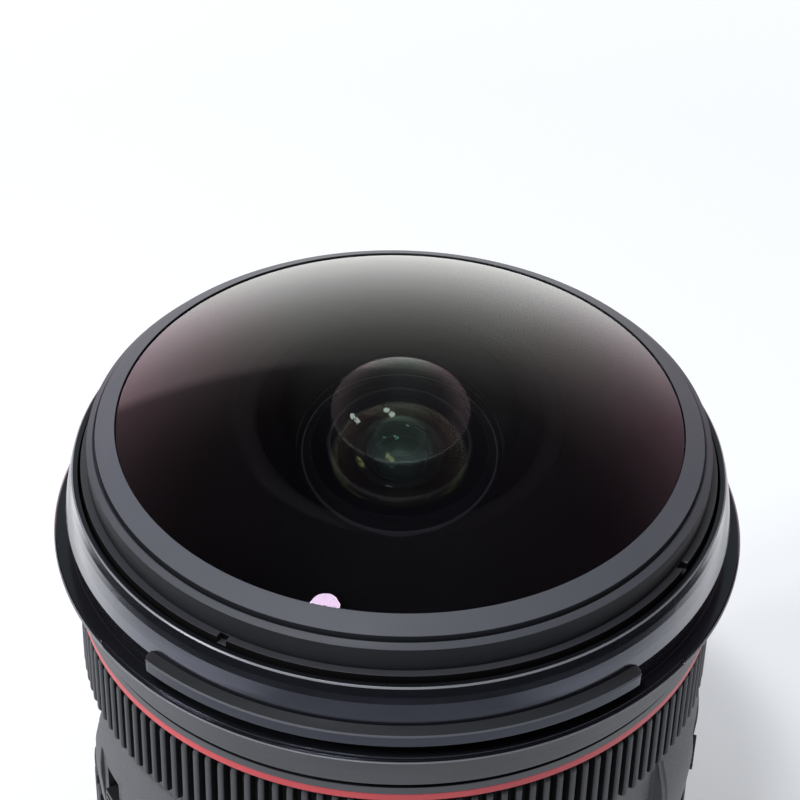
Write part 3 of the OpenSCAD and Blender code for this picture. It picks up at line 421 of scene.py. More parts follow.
# one node tree for whatever stands in a ring: ribs, screws, pins and marks
def makeRingTree():
    tree = bpy.data.node_groups.new("piecesInARing", "GeometryNodeTree")
    sockets = {"Geometry": "Geometry", "Count": "Int", "Radius": "Float", "Height": "Float", "Start": "Float",
               "Step": "Float", "Shape": "Object", "Finish": "Material"}
    ids = {}
    for label, kind in sockets.items():
        socket = tree.interface.new_socket(label, in_out="INPUT", socket_type="NodeSocket" + kind)
        ids[label] = socket.identifier
    tree.interface.new_socket("Geometry", in_out="OUTPUT", socket_type="NodeSocketGeometry")
    given = addNode(tree, "NodeGroupInput")
    result = addNode(tree, "NodeGroupOutput")
    link = tree.links.new

    order = addNode(tree, "GeometryNodeInputIndex").outputs[0]
    turned = mathNode(tree, "MULTIPLY", order, given.outputs["Step"])
    angle = mathNode(tree, "ADD", turned, given.outputs["Start"])
    place = addNode(tree, "ShaderNodeCombineXYZ")
    for axis, kind in (("X", "COSINE"), ("Y", "SINE")):
        share = mathNode(tree, kind, angle)
        link(mathNode(tree, "MULTIPLY", share, given.outputs["Radius"]), place.inputs[axis])
    link(given.outputs["Height"], place.inputs["Z"])
    facing = addNode(tree, "ShaderNodeCombineXYZ")
    link(angle, facing.inputs["Z"])
    points = addNode(tree, "GeometryNodePoints")
    link(given.outputs["Count"], points.inputs["Count"])
    link(place.outputs[0], points.inputs["Position"])
    shape = addNode(tree, "GeometryNodeObjectInfo")
    link(given.outputs["Shape"], shape.inputs["Object"])
    copies = addNode(tree, "GeometryNodeInstanceOnPoints")
    link(points.outputs[0], copies.inputs["Points"])
    link(shape.outputs["Geometry"], copies.inputs["Instance"])
    link(facing.outputs[0], copies.inputs["Rotation"])
    real = addNode(tree, "GeometryNodeRealizeInstances")
    link(copies.outputs[0], real.inputs[0])
    both = addNode(tree, "GeometryNodeJoinGeometry")
    link(real.outputs[0], both.inputs[0])
    link(given.outputs["Geometry"], both.inputs[0])
    coat = addNode(tree, "GeometryNodeSetMaterial")
    link(both.outputs[0], coat.inputs["Geometry"])
    link(given.outputs["Finish"], coat.inputs["Material"])
    link(coat.outputs[0], result.inputs[0])
    return tree, ids


ringTree, ringIds = makeRingTree()


def placeInRing(base, shape, finish, count, radius, height, startDeg=0.0, stepDeg=None):
    mod = base.modifiers.new("ring", "NODES")
    mod.node_group = ringTree
    step = 360 / count if stepDeg is None else stepDeg
    given = {"Count": count, "Radius": radius * mm, "Height": height * mm, "Start": math.radians(startDeg),
             "Step": math.radians(step), "Shape": shape, "Finish": finishes[finish]}
    for label, value in given.items():
        mod[ringIds[label]] = value
    settle(base)
    bpy.data.objects.remove(shape)
    return base


def emptyPiece(name):
    return linkMesh(name, bpy.data.meshes.new(name))


barEnd = {"steps": [(0.0, 1.0), (0.12, 0.62), (0.4, 0.22), (0.7, 0.05), (1.0, 0.0)], "pinch": 0.12}


def barShape(name, section, low, high, endRound, dip):
    # a straight bar: section of (outward, sideways) in mm, whose ends dip towards the base
    verts, count = [], len(section)
    rows = [(low + endRound * t, drop) for t, drop in barEnd["steps"]]
    rows += [(high - endRound * t, drop) for t, drop in barEnd["steps"][::-1]]
    for z, drop in rows:
        for out, side in section:
            deep, wide = out - dip * drop * max(out, 0), side * (1 - barEnd["pinch"] * drop)
            verts.append((deep * mm, wide * mm, z * mm))
    last = len(rows) - 1
    faces = [tuple(range(count)), tuple(range(last * count, (last + 1) * count))]
    for row in range(last):
        faces += [(row * count + k, row * count + (k + 1) % count, (row + 1) * count + (k + 1) % count,
                   (row + 1) * count + k) for k in range(count)]
    mesh = bpy.data.meshes.new(name)
    mesh.from_pydata(verts, [], faces)
    cleanMesh(mesh)
    mesh.shade_smooth()
    return linkMesh(name, mesh)


# glass
def sag(curve, r):
    return curve - math.sqrt(curve * curve - r * r)


def lensOutline(radius, top, bottom, steps=40, reach=0.999):
    # top and bottom are (curve, height on the axis, lowest height): a negative curve opens upwards
    def face(curve, z, flat=None):
        points = []
        for i in range(steps + 1):
            r = radius * i / steps
            h = z - math.copysign(sag(abs(curve), min(r, abs(curve) * reach)), curve)
            points.append((r, h if flat is None else max(h, flat)))
        return points

    return face(*bottom) + face(*top)[::-1]


lensTable = {
    "secondLens": {"node": "second_element", "radius": 15.5, "top": (26, 68.345),
                   "bottom": (11, 66.495, 60.2), "finish": "secondGlass", "back": "secondBack",
                   "body": "front_group", "foot": 60.25, "footLitRing": 10.9},
    "frontDoublet": {"node": "front_doublet", "radius": 10.4, "top": (-30, 55.6), "bottom": (-24, 48.6),
                     "body": "front_group"},
    "midLens": {"node": "mid_element", "radius": 9.0, "top": (28, 41.472), "bottom": (-28, 38.0),
                "body": "mid_group"},
    "midDoublet": {"node": "mid_doublet", "radius": 9.0, "top": (22, 37.426), "bottom": (18, 34.0, 32.0),
                   "body": "mid_group"},
    "rearLens": {"node": "rear_element", "radius": 8.8, "top": (26, 18.714), "bottom": (-40, 15.7),
                 "body": "rear_group"},
    "rearDoublet": {"node": "rear_doublet", "radius": 8.8, "top": (30, 14.419), "bottom": (25, 11.8, 10.6),
                    "body": "rear_group"},
    "lastLens": {"node": "last_element", "radius": 10.2, "top": (24, 9.549), "bottom": (-60, 5.9),
                 "body": "rear_group"},
}
lensTurn = {"steps": 192, "sharpDeg": 35, "rimPaint": 0.1}


def makeLenses():
    for name, row in lensTable.items():
        outline = lensOutline(row["radius"], row["top"], row["bottom"])
        lens = lathe(name, outline, radius=0, steps=lensTurn["steps"])
        lens.data.shade_smooth()
        lens.data.set_sharp_from_angle(angle=math.radians(lensTurn["sharpDeg"]))
        finish = row.get("finish", "innerGlass")
        looks = [finish, "edgePaint", row.get("back", finish)]
        dress(lens, looks + ["bandFace"] * ("foot" in row), row["body"], "optic", row["node"])
        paintFaces(lens, 2, lambda r, z, up: up < 0)
        paintFaces(lens, 1, lambda r, z, up: r > row["radius"] - lensTurn["rimPaint"])
        if "foot" in row:
            # a blackened foot, with a painted highlight ring at its inner edge
            paintFaces(lens, 1, lambda r, z, up: z < row["foot"] and up < -0.5)
            paintFaces(lens, 3, lambda r, z, up: z < row["foot"] and up < -0.5 and r < row["footLitRing"])


makeLenses()

dome = {"radius": 33.0, "curve": 61.7, "apex": 82.9966, "thick": 3.7, "bowl": 17.2, "seat": 67.6, "rings": 72,
        "sharpDeg": 25, "paintGap": 0.02}


def makeDome():
    bowlMid = dome["apex"] - dome["thick"] - dome["bowl"]
    lip = math.acos((dome["seat"] - bowlMid) / dome["bowl"])
    edge = math.asin(dome["radius"] / dome["curve"])
    count = dome["rings"]

    def arc(radius, middle, widest):
        return [(radius * math.sin(widest * i / count), middle + radius * math.cos(widest * i / count))
                for i in range(count + 1)]

    inside = arc(dome["bowl"], bowlMid, lip)
    outside = arc(dome["curve"], dome["apex"] - dome["curve"], edge)[::-1]
    glass = lathe("frontDome", inside + [(dome["radius"], dome["seat"])] + outside, radius=0)
    glass.data.shade_smooth()
    glass.data.set_sharp_from_angle(angle=math.radians(dome["sharpDeg"]))
    dress(glass, ["domeGlass", "edgePaint", "bowlGlass"], "front_group", "optic", "front_element")
    # the ground rim and the flat back are blackened
    paintFaces(glass, 2, lambda r, z, up: up < 0)
    gap = dome["paintGap"]
    paintFaces(glass, 1, lambda r, z, up: r > dome["radius"] - gap or abs(z - dome["seat"]) < gap)


makeDome()
print("glass made")


# rings that are turned on a lathe
ringTable = {
    # painted light: faces that look up keep the lit tone, walls get the shaded tone and the outer chamfer the
    # half-lit tone
    "glassRing": {"nodes": ["front_retaining_ring"], "finish": ["ringFace", "ringWall", "bandFace"],
                  "body": "front_group", "slot": "black_alloy", "round": 0.1,
                  "paint": {1: lambda r, z, up: up < 0.35 and r > 32.5,
                            2: lambda r, z, up: up >= 0.35 and r > 34.2},
                  "outline": [(33.1, 69.35), (35, 69.35), (35, 72.22), (34.3, 72.67), (34.05, 72.22),
                              (34.0, 73.22), (31.8, 74.37), (31.8, 74.21), (33.0, 73.47), (33.1, 73.37)]},
    # painted highlight: a narrow ring on top of the black retainer gets the lit ring tone
    "secondRing": {"nodes": ["second_retainer"], "finish": ["edgePaint", "ringFace"], "body": "front_group",
                   "slot": "black_alloy", "paint": {1: lambda r, z, up: 16.1 < r < 16.75 and up > 0.5},
                   "round": 0.06,
                   "outline": [(15.58, 64.3), (17.4, 64.3), (17.1, 64.8), (16.7, 64.8), (16.15, 64.8),
                               (14.4, 64.8), (14.4, 64.4)]},
    # painted shade: the groove under the name band gets the shaded wall tone
    "nameBand": {"nodes": ["name_ring"], "finish": ["satinRing", "ringWall"], "body": "barrel",
                 "slot": "barrel_black", "round": 0.12,
                 "paint": {1: lambda r, z, up: 54.05 < z < 54.97 and r < 37.2},
                 "outline": [(32.8, 53.0), (36.95, 53.0), (36.95, 54.1), (36.4, 54.1), (36.4, 54.95),
                             (37.4, 54.95), (37.4, 59.5), (37.1, 59.8), (32.8, 59.8)]},
    # painted shade: the step and underside at the foot of the red band get the shaded wall tone
    "redBand": {"nodes": ["accent_ring"], "finish": ["redPaint", "ringWall"], "body": "barrel", "slot": "red",
                "round": 0.1, "paint": {1: lambda r, z, up: z < 52.02 and (r < 36.6 or up < -0.5)},
                "outline": [(32.8, 51.75), (36.4, 51.75), (36.4, 52.0), (36.9, 52.0), (36.9, 53.0),
                            (32.8, 53.0)]},
    "rearBand": {"nodes": ["rear_barrel"], "finish": "barrelPaint", "body": "barrel", "slot": "barrel_black",
                 "round": 0.15,
                 "outline": [(24.6, 2.6), (33.3, 2.6), (34.3, 8.2), (34.6, 8.6), (34.6, 9.2), (32.8, 9.2),
                             (32.8, 4.6), (24.6, 4.6)]},
    "mountGasket": {"nodes": ["mount_seal"], "finish": "sealRubber", "body": "barrel", "slot": "rubber",
                    "round": 0.2, "outline": [(32.5, 0.4), (33.3, 0.4), (33.3, 2.6), (32.5, 2.6)]},
    "focusCore": {"nodes": ["focus_ring"], "finish": "satinRing", "body": "focus_ring",
                  "slot": "barrel_black", "round": 0.15,
                  "outline": [(32.88, 41.7), (34.8, 41.7), (34.8, 51.5), (32.88, 51.5)]},
    "zoomCore": {"nodes": ["zoom_ring"], "finish": "satinRing", "body": "zoom_ring", "slot": "barrel_black",
                 "round": 0.15, "outline": [(32.88, 9.45), (34.6, 9.45), (34.6, 23.45), (32.88, 23.45)]},
}


def makeRings():
    for name, row in ringTable.items():
        ring = lathe(name, row["outline"], row["round"])
        evenShade(ring)
        dress(ring, row["finish"], row["body"], row["slot"], *row["nodes"])
        for index, where in row.get("paint", {}).items():
            paintFaces(ring, index, where)


makeRings()

# the hood collar: flange with two cut sectors, a flared wall and two lugs
collar = {"foot": [(32.8, 59.8), (38.95, 59.8), (39.25, 60.05)],
          "lip": [(39.25, 60.25), (39.14, 60.4), (39.0, 60.57), (38.95, 60.6)],
          "cutLip": [(39.25, 60.15), (39.08, 60.15), (38.8, 60.15), (38.8, 60.6)],
          "wall": [(37.4, 60.6), (37.4, 62.1), (37.75, 63.6), (37.68, 64.2), (37.57, 65.1), (37.44, 65.9),
                   (37.3, 66.7), (37.12, 67.5), (36.95, 68.1), (36.85, 68.5), (36.7, 68.65), (36.1, 68.65),
                   (36.1, 60.6), (32.8, 60.6)],
          "lug": [(36.6, 62.3), (39.0, 62.3), (39.0, 63.66), (38.86, 63.78), (37.66, 64.1), (36.6, 64.1)],
          "lugHalf": 43, "lugRound": 0.9, "cutHalf": 53.5, "middles": (-90, 90), "blend": 0.25, "round": 0.1,
          "finish": ["glossCoat", "edgeShine", "lugFace", "ringFace"],
          # painted highlights: light finishes on the top edge, the flange's edge and the lugs' outer top
          # edges, and a lighter copy of the coat on the lug tops for their lit look
          "paint": {1: lambda r, z, up: (r > 36.68 and z > 68.45) or (r > 39.08 and z > 60.03 and up > -0.3),
                    3: lambda r, z, up: r > 38.8 and 63.6 < z < 63.84,
                    2: lambda r, z, up: up > 0.8 and 37.5 < r < 38.85 and 63.7 < z < 64.2}}


def makeCollar():
    whole, cut = (roundCorners(collar["foot"] + collar[lip] + collar["wall"], collar["round"])
                  for lip in ("lip", "cutLip"))
    turns = {360 * i / ringSteps for i in range(ringSteps)}
    edges = [mid + side * collar["cutHalf"] for mid in collar["middles"] for side in (-1, 1)]
    for edge in edges:
        turns |= {(edge + step) % 360 for step in (-collar["blend"] / 2, collar["blend"] / 2)}
    turns = sorted(turns)
    columns = []
    for turn in turns:
        near = min(abs((turn - mid + 180) % 360 - 180) for mid in collar["middles"])
        columns.append(cut if near < collar["cutHalf"] else whole)
    body = linkMesh("hoodCollar", ringMesh("hoodCollar", columns, [math.radians(t) for t in turns]))
    lugs = [arcBar("lug", collar["lug"], mid - collar["lugHalf"], mid + collar["lugHalf"], collar["lugRound"])
            for mid in collar["middles"]]
    joinPieces(body, *lugs)
    evenShade(body)
    dress(body, collar["finish"], "barrel", "gloss_black", "hood_collar")
    for index, where in collar["paint"].items():
        paintFaces(body, index, where)


makeCollar()

# the front cell: one turned piece with spanner notches in its rim
cell = {"stem": [(9.4, 50.6), (12.2, 50.6), (12.2, 58.6), (17.4, 58.6), (17.4, 60.8), (23.85, 60.8),
                 (23.85, 44.5), (25.05, 44.5), (25.05, 60.8), (35.6, 60.8), (35.8, 61.0)],
        "rim": [(35.8, 68.5), (35.8, 69.35), (35.02, 69.35)],
        "notch": [(35.8, 68.5), (35.02, 68.5), (35.02, 69.35)],
        "bowl": [(33.1, 69.35), (33.1, 67.6), (29.5, 67.6), (29.5, 62.6), (17.4, 62.6), (17.4, 64.3),
                 (15.6, 64.3), (15.6, 60.2), (10.5, 60.2), (10.5, 51.6), (9.4, 51.6)],
        "notchAt": (-120, -30, 60, 150), "notchHalf": 0.55 / 35.4, "blend": 0.001, "round": 0.06,
        # the inside is black; walls and faces that look down get the same black as painted shade
        "black": lambda r, z, up: r < 33.05 or up < 0.35}


def makeCell():
    whole, cut = (roundCorners(cell["stem"] + cell[rim] + cell["bowl"], cell["round"])
                  for rim in ("rim", "notch"))
    turns = {fullTurn * i / ringSteps for i in range(ringSteps)}
    for mid in cell["notchAt"]:
        for side in (-1, 1):
            edge = math.radians(mid) + side * cell["notchHalf"]
            turns |= {(edge - cell["blend"]) % fullTurn, (edge + cell["blend"]) % fullTurn}
    turns = sorted(turns)
    columns = []
    for turn in turns:
        near = min(abs((turn - math.radians(mid) + math.pi) % fullTurn - math.pi) for mid in cell["notchAt"])
        columns.append(cut if near < cell["notchHalf"] else whole)
    body = linkMesh("cellBody", ringMesh("cellBody", columns, turns))
    evenShade(body)
    # painted light: faces that look up get the partly shaded ledge tone, the rest black
    dress(body, ["ledgeFace", "edgePaint"], "front_group", "black_alloy", "front_cell")
    paintFaces(body, 1, cell["black"])


makeCell()
print("rings made")

# ribbed grips
gripTable = {
    "focusGrip": {"node": "focus_grip", "body": "focus_ring", "count": 138, "core": 34.8, "valley": 35.7,
                  "top": 36.85, "low": 41.7, "high": 51.5, "half": 0.36, "flank": 0.1},
    "zoomGrip": {"node": "zoom_grip", "body": "zoom_ring", "count": 72, "core": 34.6, "valley": 35.7,
                 "top": 36.6, "low": 9.75, "high": 23.15, "half": 0.9, "flank": 0.18},
}
gripRib = {"round": 0.6, "dip": 0.35, "sharpDeg": 48, "sleeveRound": 0.1, "shadeShare": 0.6}


def makeGrips():
    for name, row in gripTable.items():
        core, valley, low, high = (row[key] for key in ("core", "valley", "low", "high"))
        outline = [(core, low), (valley, low), (valley, high), (core, high)]
        sleeve = lathe(name, outline, gripRib["sleeveRound"], row["count"] * 2)
        evenShade(sleeve)
        h, f, top = row["half"], row["flank"], row["top"] - valley
        # half a rib, from its sunk root over the flank to the rounded crown
        half = [(-0.2, h + f), (0.0, h + f), (top * 0.78, h + f * 0.1), (top * 0.91, h - 0.04),
                (top * 0.98, h - 0.14), (top, h * 0.3)]
        section = [(out, -side) for out, side in half] + half[::-1]
        rib = barShape("rib", section, low, high, gripRib["round"], gripRib["dip"])
        rib.data.set_sharp_from_angle(angle=math.radians(gripRib["sharpDeg"]))
        placeInRing(sleeve, rib, "gripRubber", row["count"], valley, 0.0)
        dress(sleeve, ["gripRubber", "grooveRubber"], row["body"], "rubber", row["node"])
        # painted shade: the grooves and the lower part of the flanks get the darker rubber
        paintFaces(sleeve, 1, lambda r, z, up: r < valley + top * gripRib["shadeShare"])


makeGrips()
print("grips made")

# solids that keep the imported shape, with softened edges
copyTable = {
    "outerBarrel": {"node": "outer_barrel", "finish": "barrelPaint", "body": "barrel", "slot": "barrel_black",
                    "bevel": 0.12},
    "afPlate": {"node": "af_switch_plate", "finish": "platePlastic", "body": "barrel", "slot": "dark_plastic",
                "bevel": 0.08},
    "limitPlate": {"node": "limit_switch_plate", "finish": "platePlastic", "body": "barrel",
                   "slot": "dark_plastic", "bevel": 0.08},
    "afKnob": {"node": "af_switch_knob", "finish": "knobPlastic", "body": "af_switch", "slot": "dark_plastic",
               "bevel": 0.07},
    "limitKnob": {"node": "limit_switch_knob", "finish": "knobPlastic", "body": "limit_switch",
                  "slot": "dark_plastic", "bevel": 0.07},
    "scaleWindow": {"node": "distance_window", "finish": "windowPlastic", "body": "barrel", "slot": "window",
                    "bevel": 0.0},
    "mountPlate": {"node": "bayonet_mount", "finish": "chromePlate", "body": "barrel", "slot": "chrome",
                   "bevel": 0.1},
    "contactHolder": {"node": "contact_block", "finish": "platePlastic", "body": "barrel",
                      "slot": "dark_plastic", "bevel": 0.12},
    "rearBaffle": {"node": "rear_baffle", "finish": "flatBlack", "body": "barrel", "slot": "black_alloy",
                   "bevel": 0.1},
    "indexDot": {"node": "index_dot", "finish": "redPaint", "body": "barrel", "slot": "red", "bevel": 0.05},
}


def makeCopies():
    for name, row in copyTable.items():
        piece = cadCopy(name, row["node"], row["bevel"])
        dress(piece, row["finish"], row["body"], row["slot"], row["node"])


makeCopies()
print("copies made")

# screws and contact pins
screw = {"count": 4, "circle": 29.8, "low": 0.15, "startDeg": 45, "head": 1.5, "height": 1.1, "sides": 32,
         "chamfer": [(0.0, 0.3), (0.08, 0.12), (0.3, 0.0)], "cross": 0.8, "bar": 0.17, "deep": 0.5,
         "taper": 0.86}


def screwShape():
    # head down: a chamfered disc with a cross recess in its face
    s, ring = screw, screw["sides"]
    work = bmesh.new()

    def loop(r, z):
        spots = [(r * math.cos(fullTurn * i / ring), r * math.sin(fullTurn * i / ring)) for i in range(ring)]
        return [work.verts.new((x * mm, y * mm, z * mm)) for x, y in spots]

    rows = [loop(s["head"], s["height"])] + [loop(s["head"] - inset, z) for inset, z in s["chamfer"]]
    work.faces.new(rows[0])
    for a, b in zip(rows, rows[1:]):
        for i in range(ring):
            work.faces.new((a[i], a[(i + 1) % ring], b[(i + 1) % ring], b[i]))
    w, c = s["bar"], s["cross"]
    plus = [(c, -w), (c, w), (w, w), (w, c), (-w, c), (-w, w), (-c, w), (-c, -w), (-w, -w), (-w, -c), (w, -c),
            (w, -w)]
    upper = [work.verts.new((x * mm, y * mm, 0)) for x, y in plus]
    lower = [work.verts.new((x * s["taper"] * mm, y * s["taper"] * mm, s["deep"] * mm)) for x, y in plus]
    count = len(plus)
    for i in range(count):
        work.faces.new((upper[i], upper[(i + 1) % count], lower[(i + 1) % count], lower[i]))
    work.faces.new(lower)
    rim = [work.edges.get((rows[-1][i], rows[-1][(i + 1) % ring])) for i in range(ring)]
    mouth = [work.edges.get((upper[i], upper[(i + 1) % count])) for i in range(count)]
    bmesh.ops.bridge_loops(work, edges=rim + mouth)
    bmesh.ops.recalc_face_normals(work, faces=work.faces)
    mesh = bpy.data.meshes.new("screw")
    work.to_mesh(mesh)
    work.free()
    return linkMesh("screw", mesh)


pin = {"count": 7, "circle": 21.5, "low": -5.5, "radius": 0.65, "height": 1.9, "spread": 54 / 7, "sides": 24,
       "nose": [(1.0, 0.25), (0.92, 0.1), (0.7, 0.03), (0.0, 0.0)], "sharpDeg": 50, "middleDeg": 90}


def pinShape():
    # a round-nosed pin, nose down
    r = pin["radius"]
    outline = [(0, pin["height"]), (r, pin["height"])] + [(r * share, z) for share, z in pin["nose"]]
    piece = lathe("pin", outline, radius=0, steps=pin["sides"])
    piece.data.shade_smooth()
    piece.data.set_sharp_from_angle(angle=math.radians(pin["sharpDeg"]))
    return piece


def makeFasteners():
    heads = placeInRing(emptyPiece("mountScrews"), screwShape(), "screwSteel", screw["count"],
                        screw["circle"], screw["low"], screw["startDeg"])
    dress(heads, "screwSteel", "barrel", "steel", "mount_screws")
    start = pin["middleDeg"] - pin["spread"] * (pin["count"] - 1) / 2
    pins = placeInRing(emptyPiece("contactPins"), pinShape(), "contactGold", pin["count"], pin["circle"],
                       pin["low"], start, pin["spread"])
    dress(pins, "contactGold", "barrel", "gold", "contact_pins")


makeFasteners()
print("fasteners made")

# marks: plain figures and ticks on the distance drum, an index line above its window
# the last figure is at the index at rest, the first when the drum has turned through its travel
dial = {"radius": 31.2, "rise": 0.04, "sink": 0.05, "figures": ["1", "2", "3", "5", "7", "9"],
        "firstDeg": -135, "stepDeg": 9, "size": 2.2, "foot": 34.4, "tickCount": 54, "tickDeg": 1.0,
        "tickFrom": -139, "tickLow": 32.6, "tickHigh": 33.6, "tickHalf": 0.07, "endRound": 0.05,
        "curveSteps": 3}
indexMark = {"radius": 35.3, "rise": 0.03, "half": 0.14, "low": 38.3, "high": 39.6, "atDeg": -90}


def tickShape(name, half, rise, low, high):
    section = [(-dial["sink"], -half), (rise, -half), (rise, half), (-dial["sink"], half)]
    return barShape(name, section, low, high, dial["endRound"], 0.0)


def figureMesh(text, middleDeg):
    data = bpy.data.curves.new("figure", "FONT")
    data.body, data.size, data.align_x = text, dial["size"] * mm, "CENTER"
    data.extrude = (dial["rise"] + dial["sink"]) / 2 * mm
    data.resolution_u = dial["curveSteps"]
    flat = bpy.data.objects.new("figure", data)
    scene.collection.objects.link(flat)
    graph = bpy.context.evaluated_depsgraph_get()
    graph.update()
    mesh = bpy.data.meshes.new_from_object(flat.evaluated_get(graph), depsgraph=graph)
    bpy.data.objects.remove(flat)
    for vert in mesh.vertices:
        out = dial["radius"] + (dial["rise"] if vert.co.z > 0 else -dial["sink"])
        turn = math.radians(middleDeg) + vert.co.x / (dial["radius"] * mm)
        vert.co = (out * mm * math.cos(turn), out * mm * math.sin(turn), dial["foot"] * mm + vert.co.y)
    cleanMesh(mesh)
    mesh.materials.clear()
    return linkMesh("figure", mesh)


def makeMarks():
    ticks = tickShape("tick", dial["tickHalf"], dial["rise"], dial["tickLow"], dial["tickHigh"])
    marks = placeInRing(emptyPiece("dialMarks"), ticks, "markWhite", dial["tickCount"], dial["radius"], 0.0,
                        dial["tickFrom"], dial["tickDeg"])
    joinPieces(marks, *[figureMesh(text, dial["firstDeg"] + dial["stepDeg"] * i)
                        for i, text in enumerate(dial["figures"])])
    dress(marks, "markWhite", "focus_drive", "white_scale")
    line = tickShape("line", indexMark["half"], indexMark["rise"], indexMark["low"], indexMark["high"])
    index = placeInRing(emptyPiece("indexLine"), line, "markWhite", 1, indexMark["radius"], 0.0,
                        indexMark["atDeg"])
    dress(index, "markWhite", "barrel", "white_scale")


makeMarks()
print("marks made")

# the nodes that stay as they are
for name, node in nodes.items():
    if node.hide_render:
        continue
    finish = slotFinish[nodeSlot[name]]
    if name.startswith("iris_blade"):
        finish = "bladeSteel"
    node.data.materials.clear()
    node.data.materials.append(finishes[finish])
print("carried over:", sum(not node.hide_render for node in nodes.values()))

# floor, light and surroundings
studio = {"floorSize": 3.0, "nearFloor": 0.1, "floorGap": 0.0001, "floorTone": (0.84, 0.86, 0.90),
          "floorRough": 0.7, "floorSpecular": 0.2, "fibre": 0.985, "fibreGrain": (700, 2.0),
          "lift": (0.2, 0.85), "liftSpan": (0.2, 1.2), "glowReach": 0.4,
          "glow": [(0.285, 0.0), (0.315, 1.65), (0.352, 1.65), (0.382, 0.0),
                   (0.618, 0.0), (0.648, 1.15), (0.684, 1.15), (0.716, 0.0)],
          "skyTone": (0.95, 0.97, 1.0), "sky": (0.8, 0.3), "skySpan": (-0.2, 0.9), "frontDim": 0.25,
          "frontSpan": (-0.75, 0.1), "roomLevel": 1.85, "underDim": 0.7, "underSpan": (-0.5, -0.1),
          "leftWall": 0.6, "leftSpan": (-0.3, -0.1), "wallSpan": (0.76, 0.795),
          "heights": [(0.02, (1.0, 0.975, 1.0)), (0.12, (0.95, 0.94, 0.94)), (0.25, (0.8, 0.81, 0.78)),
                      (0.4, (0.63, 0.65, 0.6)), (0.55, (0.37, 0.39, 0.36)), (0.7, (0.15, 0.165, 0.155)),
                      (0.9, (0.09, 0.1, 0.115))],
          "sides": [(0.2, (1.05, 0.72, 0.82)), (0.4, (0.97, 1.0, 0.95)), (0.6, (0.95, 0.98, 0.93)),
                    (0.8, (0.56, 0.36, 0.43))]}


def seenRays(tree):
    # one for what the camera sees, straight or through metal and glass
    path = addNode(tree, "ShaderNodeLightPath")
    total = path.outputs["Is Camera Ray"]
    for label in ("Is Glossy Ray", "Is Transmission Ray"):
        total = mathNode(tree, "MAXIMUM", total, path.outputs[label])
    return total


def toneRamp(tree, stops, source):
    node = addNode(tree, "ShaderNodeValToRGB")
    ramp = node.color_ramp
    for spot, tone in stops:
        ramp.elements.new(spot).color = (*tone, 1)
    ramp.elements.remove(ramp.elements[0])
    ramp.elements.remove(ramp.elements[-1])
    tree.links.new(source, node.inputs[0])
    return node.outputs[0]


def makePaper():
    paper, tree, shader = newMaterial("floorPaper")
    shader.inputs["Roughness"].default_value = studio["floorRough"]
    shader.inputs["Specular IOR Level"].default_value = studio["floorSpecular"]
    shader.inputs["Emission Color"].default_value = (1, 1, 1, 1)
    fibre = grainNode(tree, *studio["fibreGrain"])
    dull = [tone * studio["fibre"] for tone in studio["floorTone"]]
    mottle(tree, shader, fibre, (dull, studio["floorTone"]))
    # paler with distance, as an even white sweep is
    coords = addNode(tree, "ShaderNodeTexCoord")
    reach = addNode(tree, "ShaderNodeVectorMath", operation="LENGTH")
    tree.links.new(coords.outputs["Object"], reach.inputs[0])
    pale = fade(tree, reach.outputs["Value"], studio["liftSpan"], studio["lift"])
    lift = mathNode(tree, "MULTIPLY", seenRays(tree), pale)
    # painted reflection: two strips beside the lens glow in reflections only, and show in the collar
    split = addNode(tree, "ShaderNodeSeparateXYZ")
    tree.links.new(coords.outputs["Object"], split.inputs[0])
    across = fade(tree, split.outputs["X"], (-studio["glowReach"], studio["glowReach"]))
    strips = toneRamp(tree, [(spot, (tone,) * 3) for spot, tone in studio["glow"]], across)
    mirrored = addNode(tree, "ShaderNodeLightPath").outputs["Is Glossy Ray"]
    glow = mathNode(tree, "MULTIPLY", strips, mirrored)
    tree.links.new(mathNode(tree, "ADD", lift, glow), shader.inputs["Emission Strength"])
    return paper


def makeFloor():
    paper = makePaper()
    size, middle = studio["floorSize"], studio["nearFloor"]
    low = cadLow.z - studio["floorGap"]
    for name, near, far in (("nearFloor", -size, middle), ("farFloor", middle, size)):
        mesh = bpy.data.meshes.new(name)
        mesh.from_pydata([(-size, near, low), (size, near, low), (size, far, low), (-size, far, low)], [],
                         [(0, 1, 2, 3)])
        mesh.materials.append(paper)
        floor = linkMesh(name, mesh)
        # reflections pass the far part and meet the room
        floor.visible_glossy = name == "nearFloor"


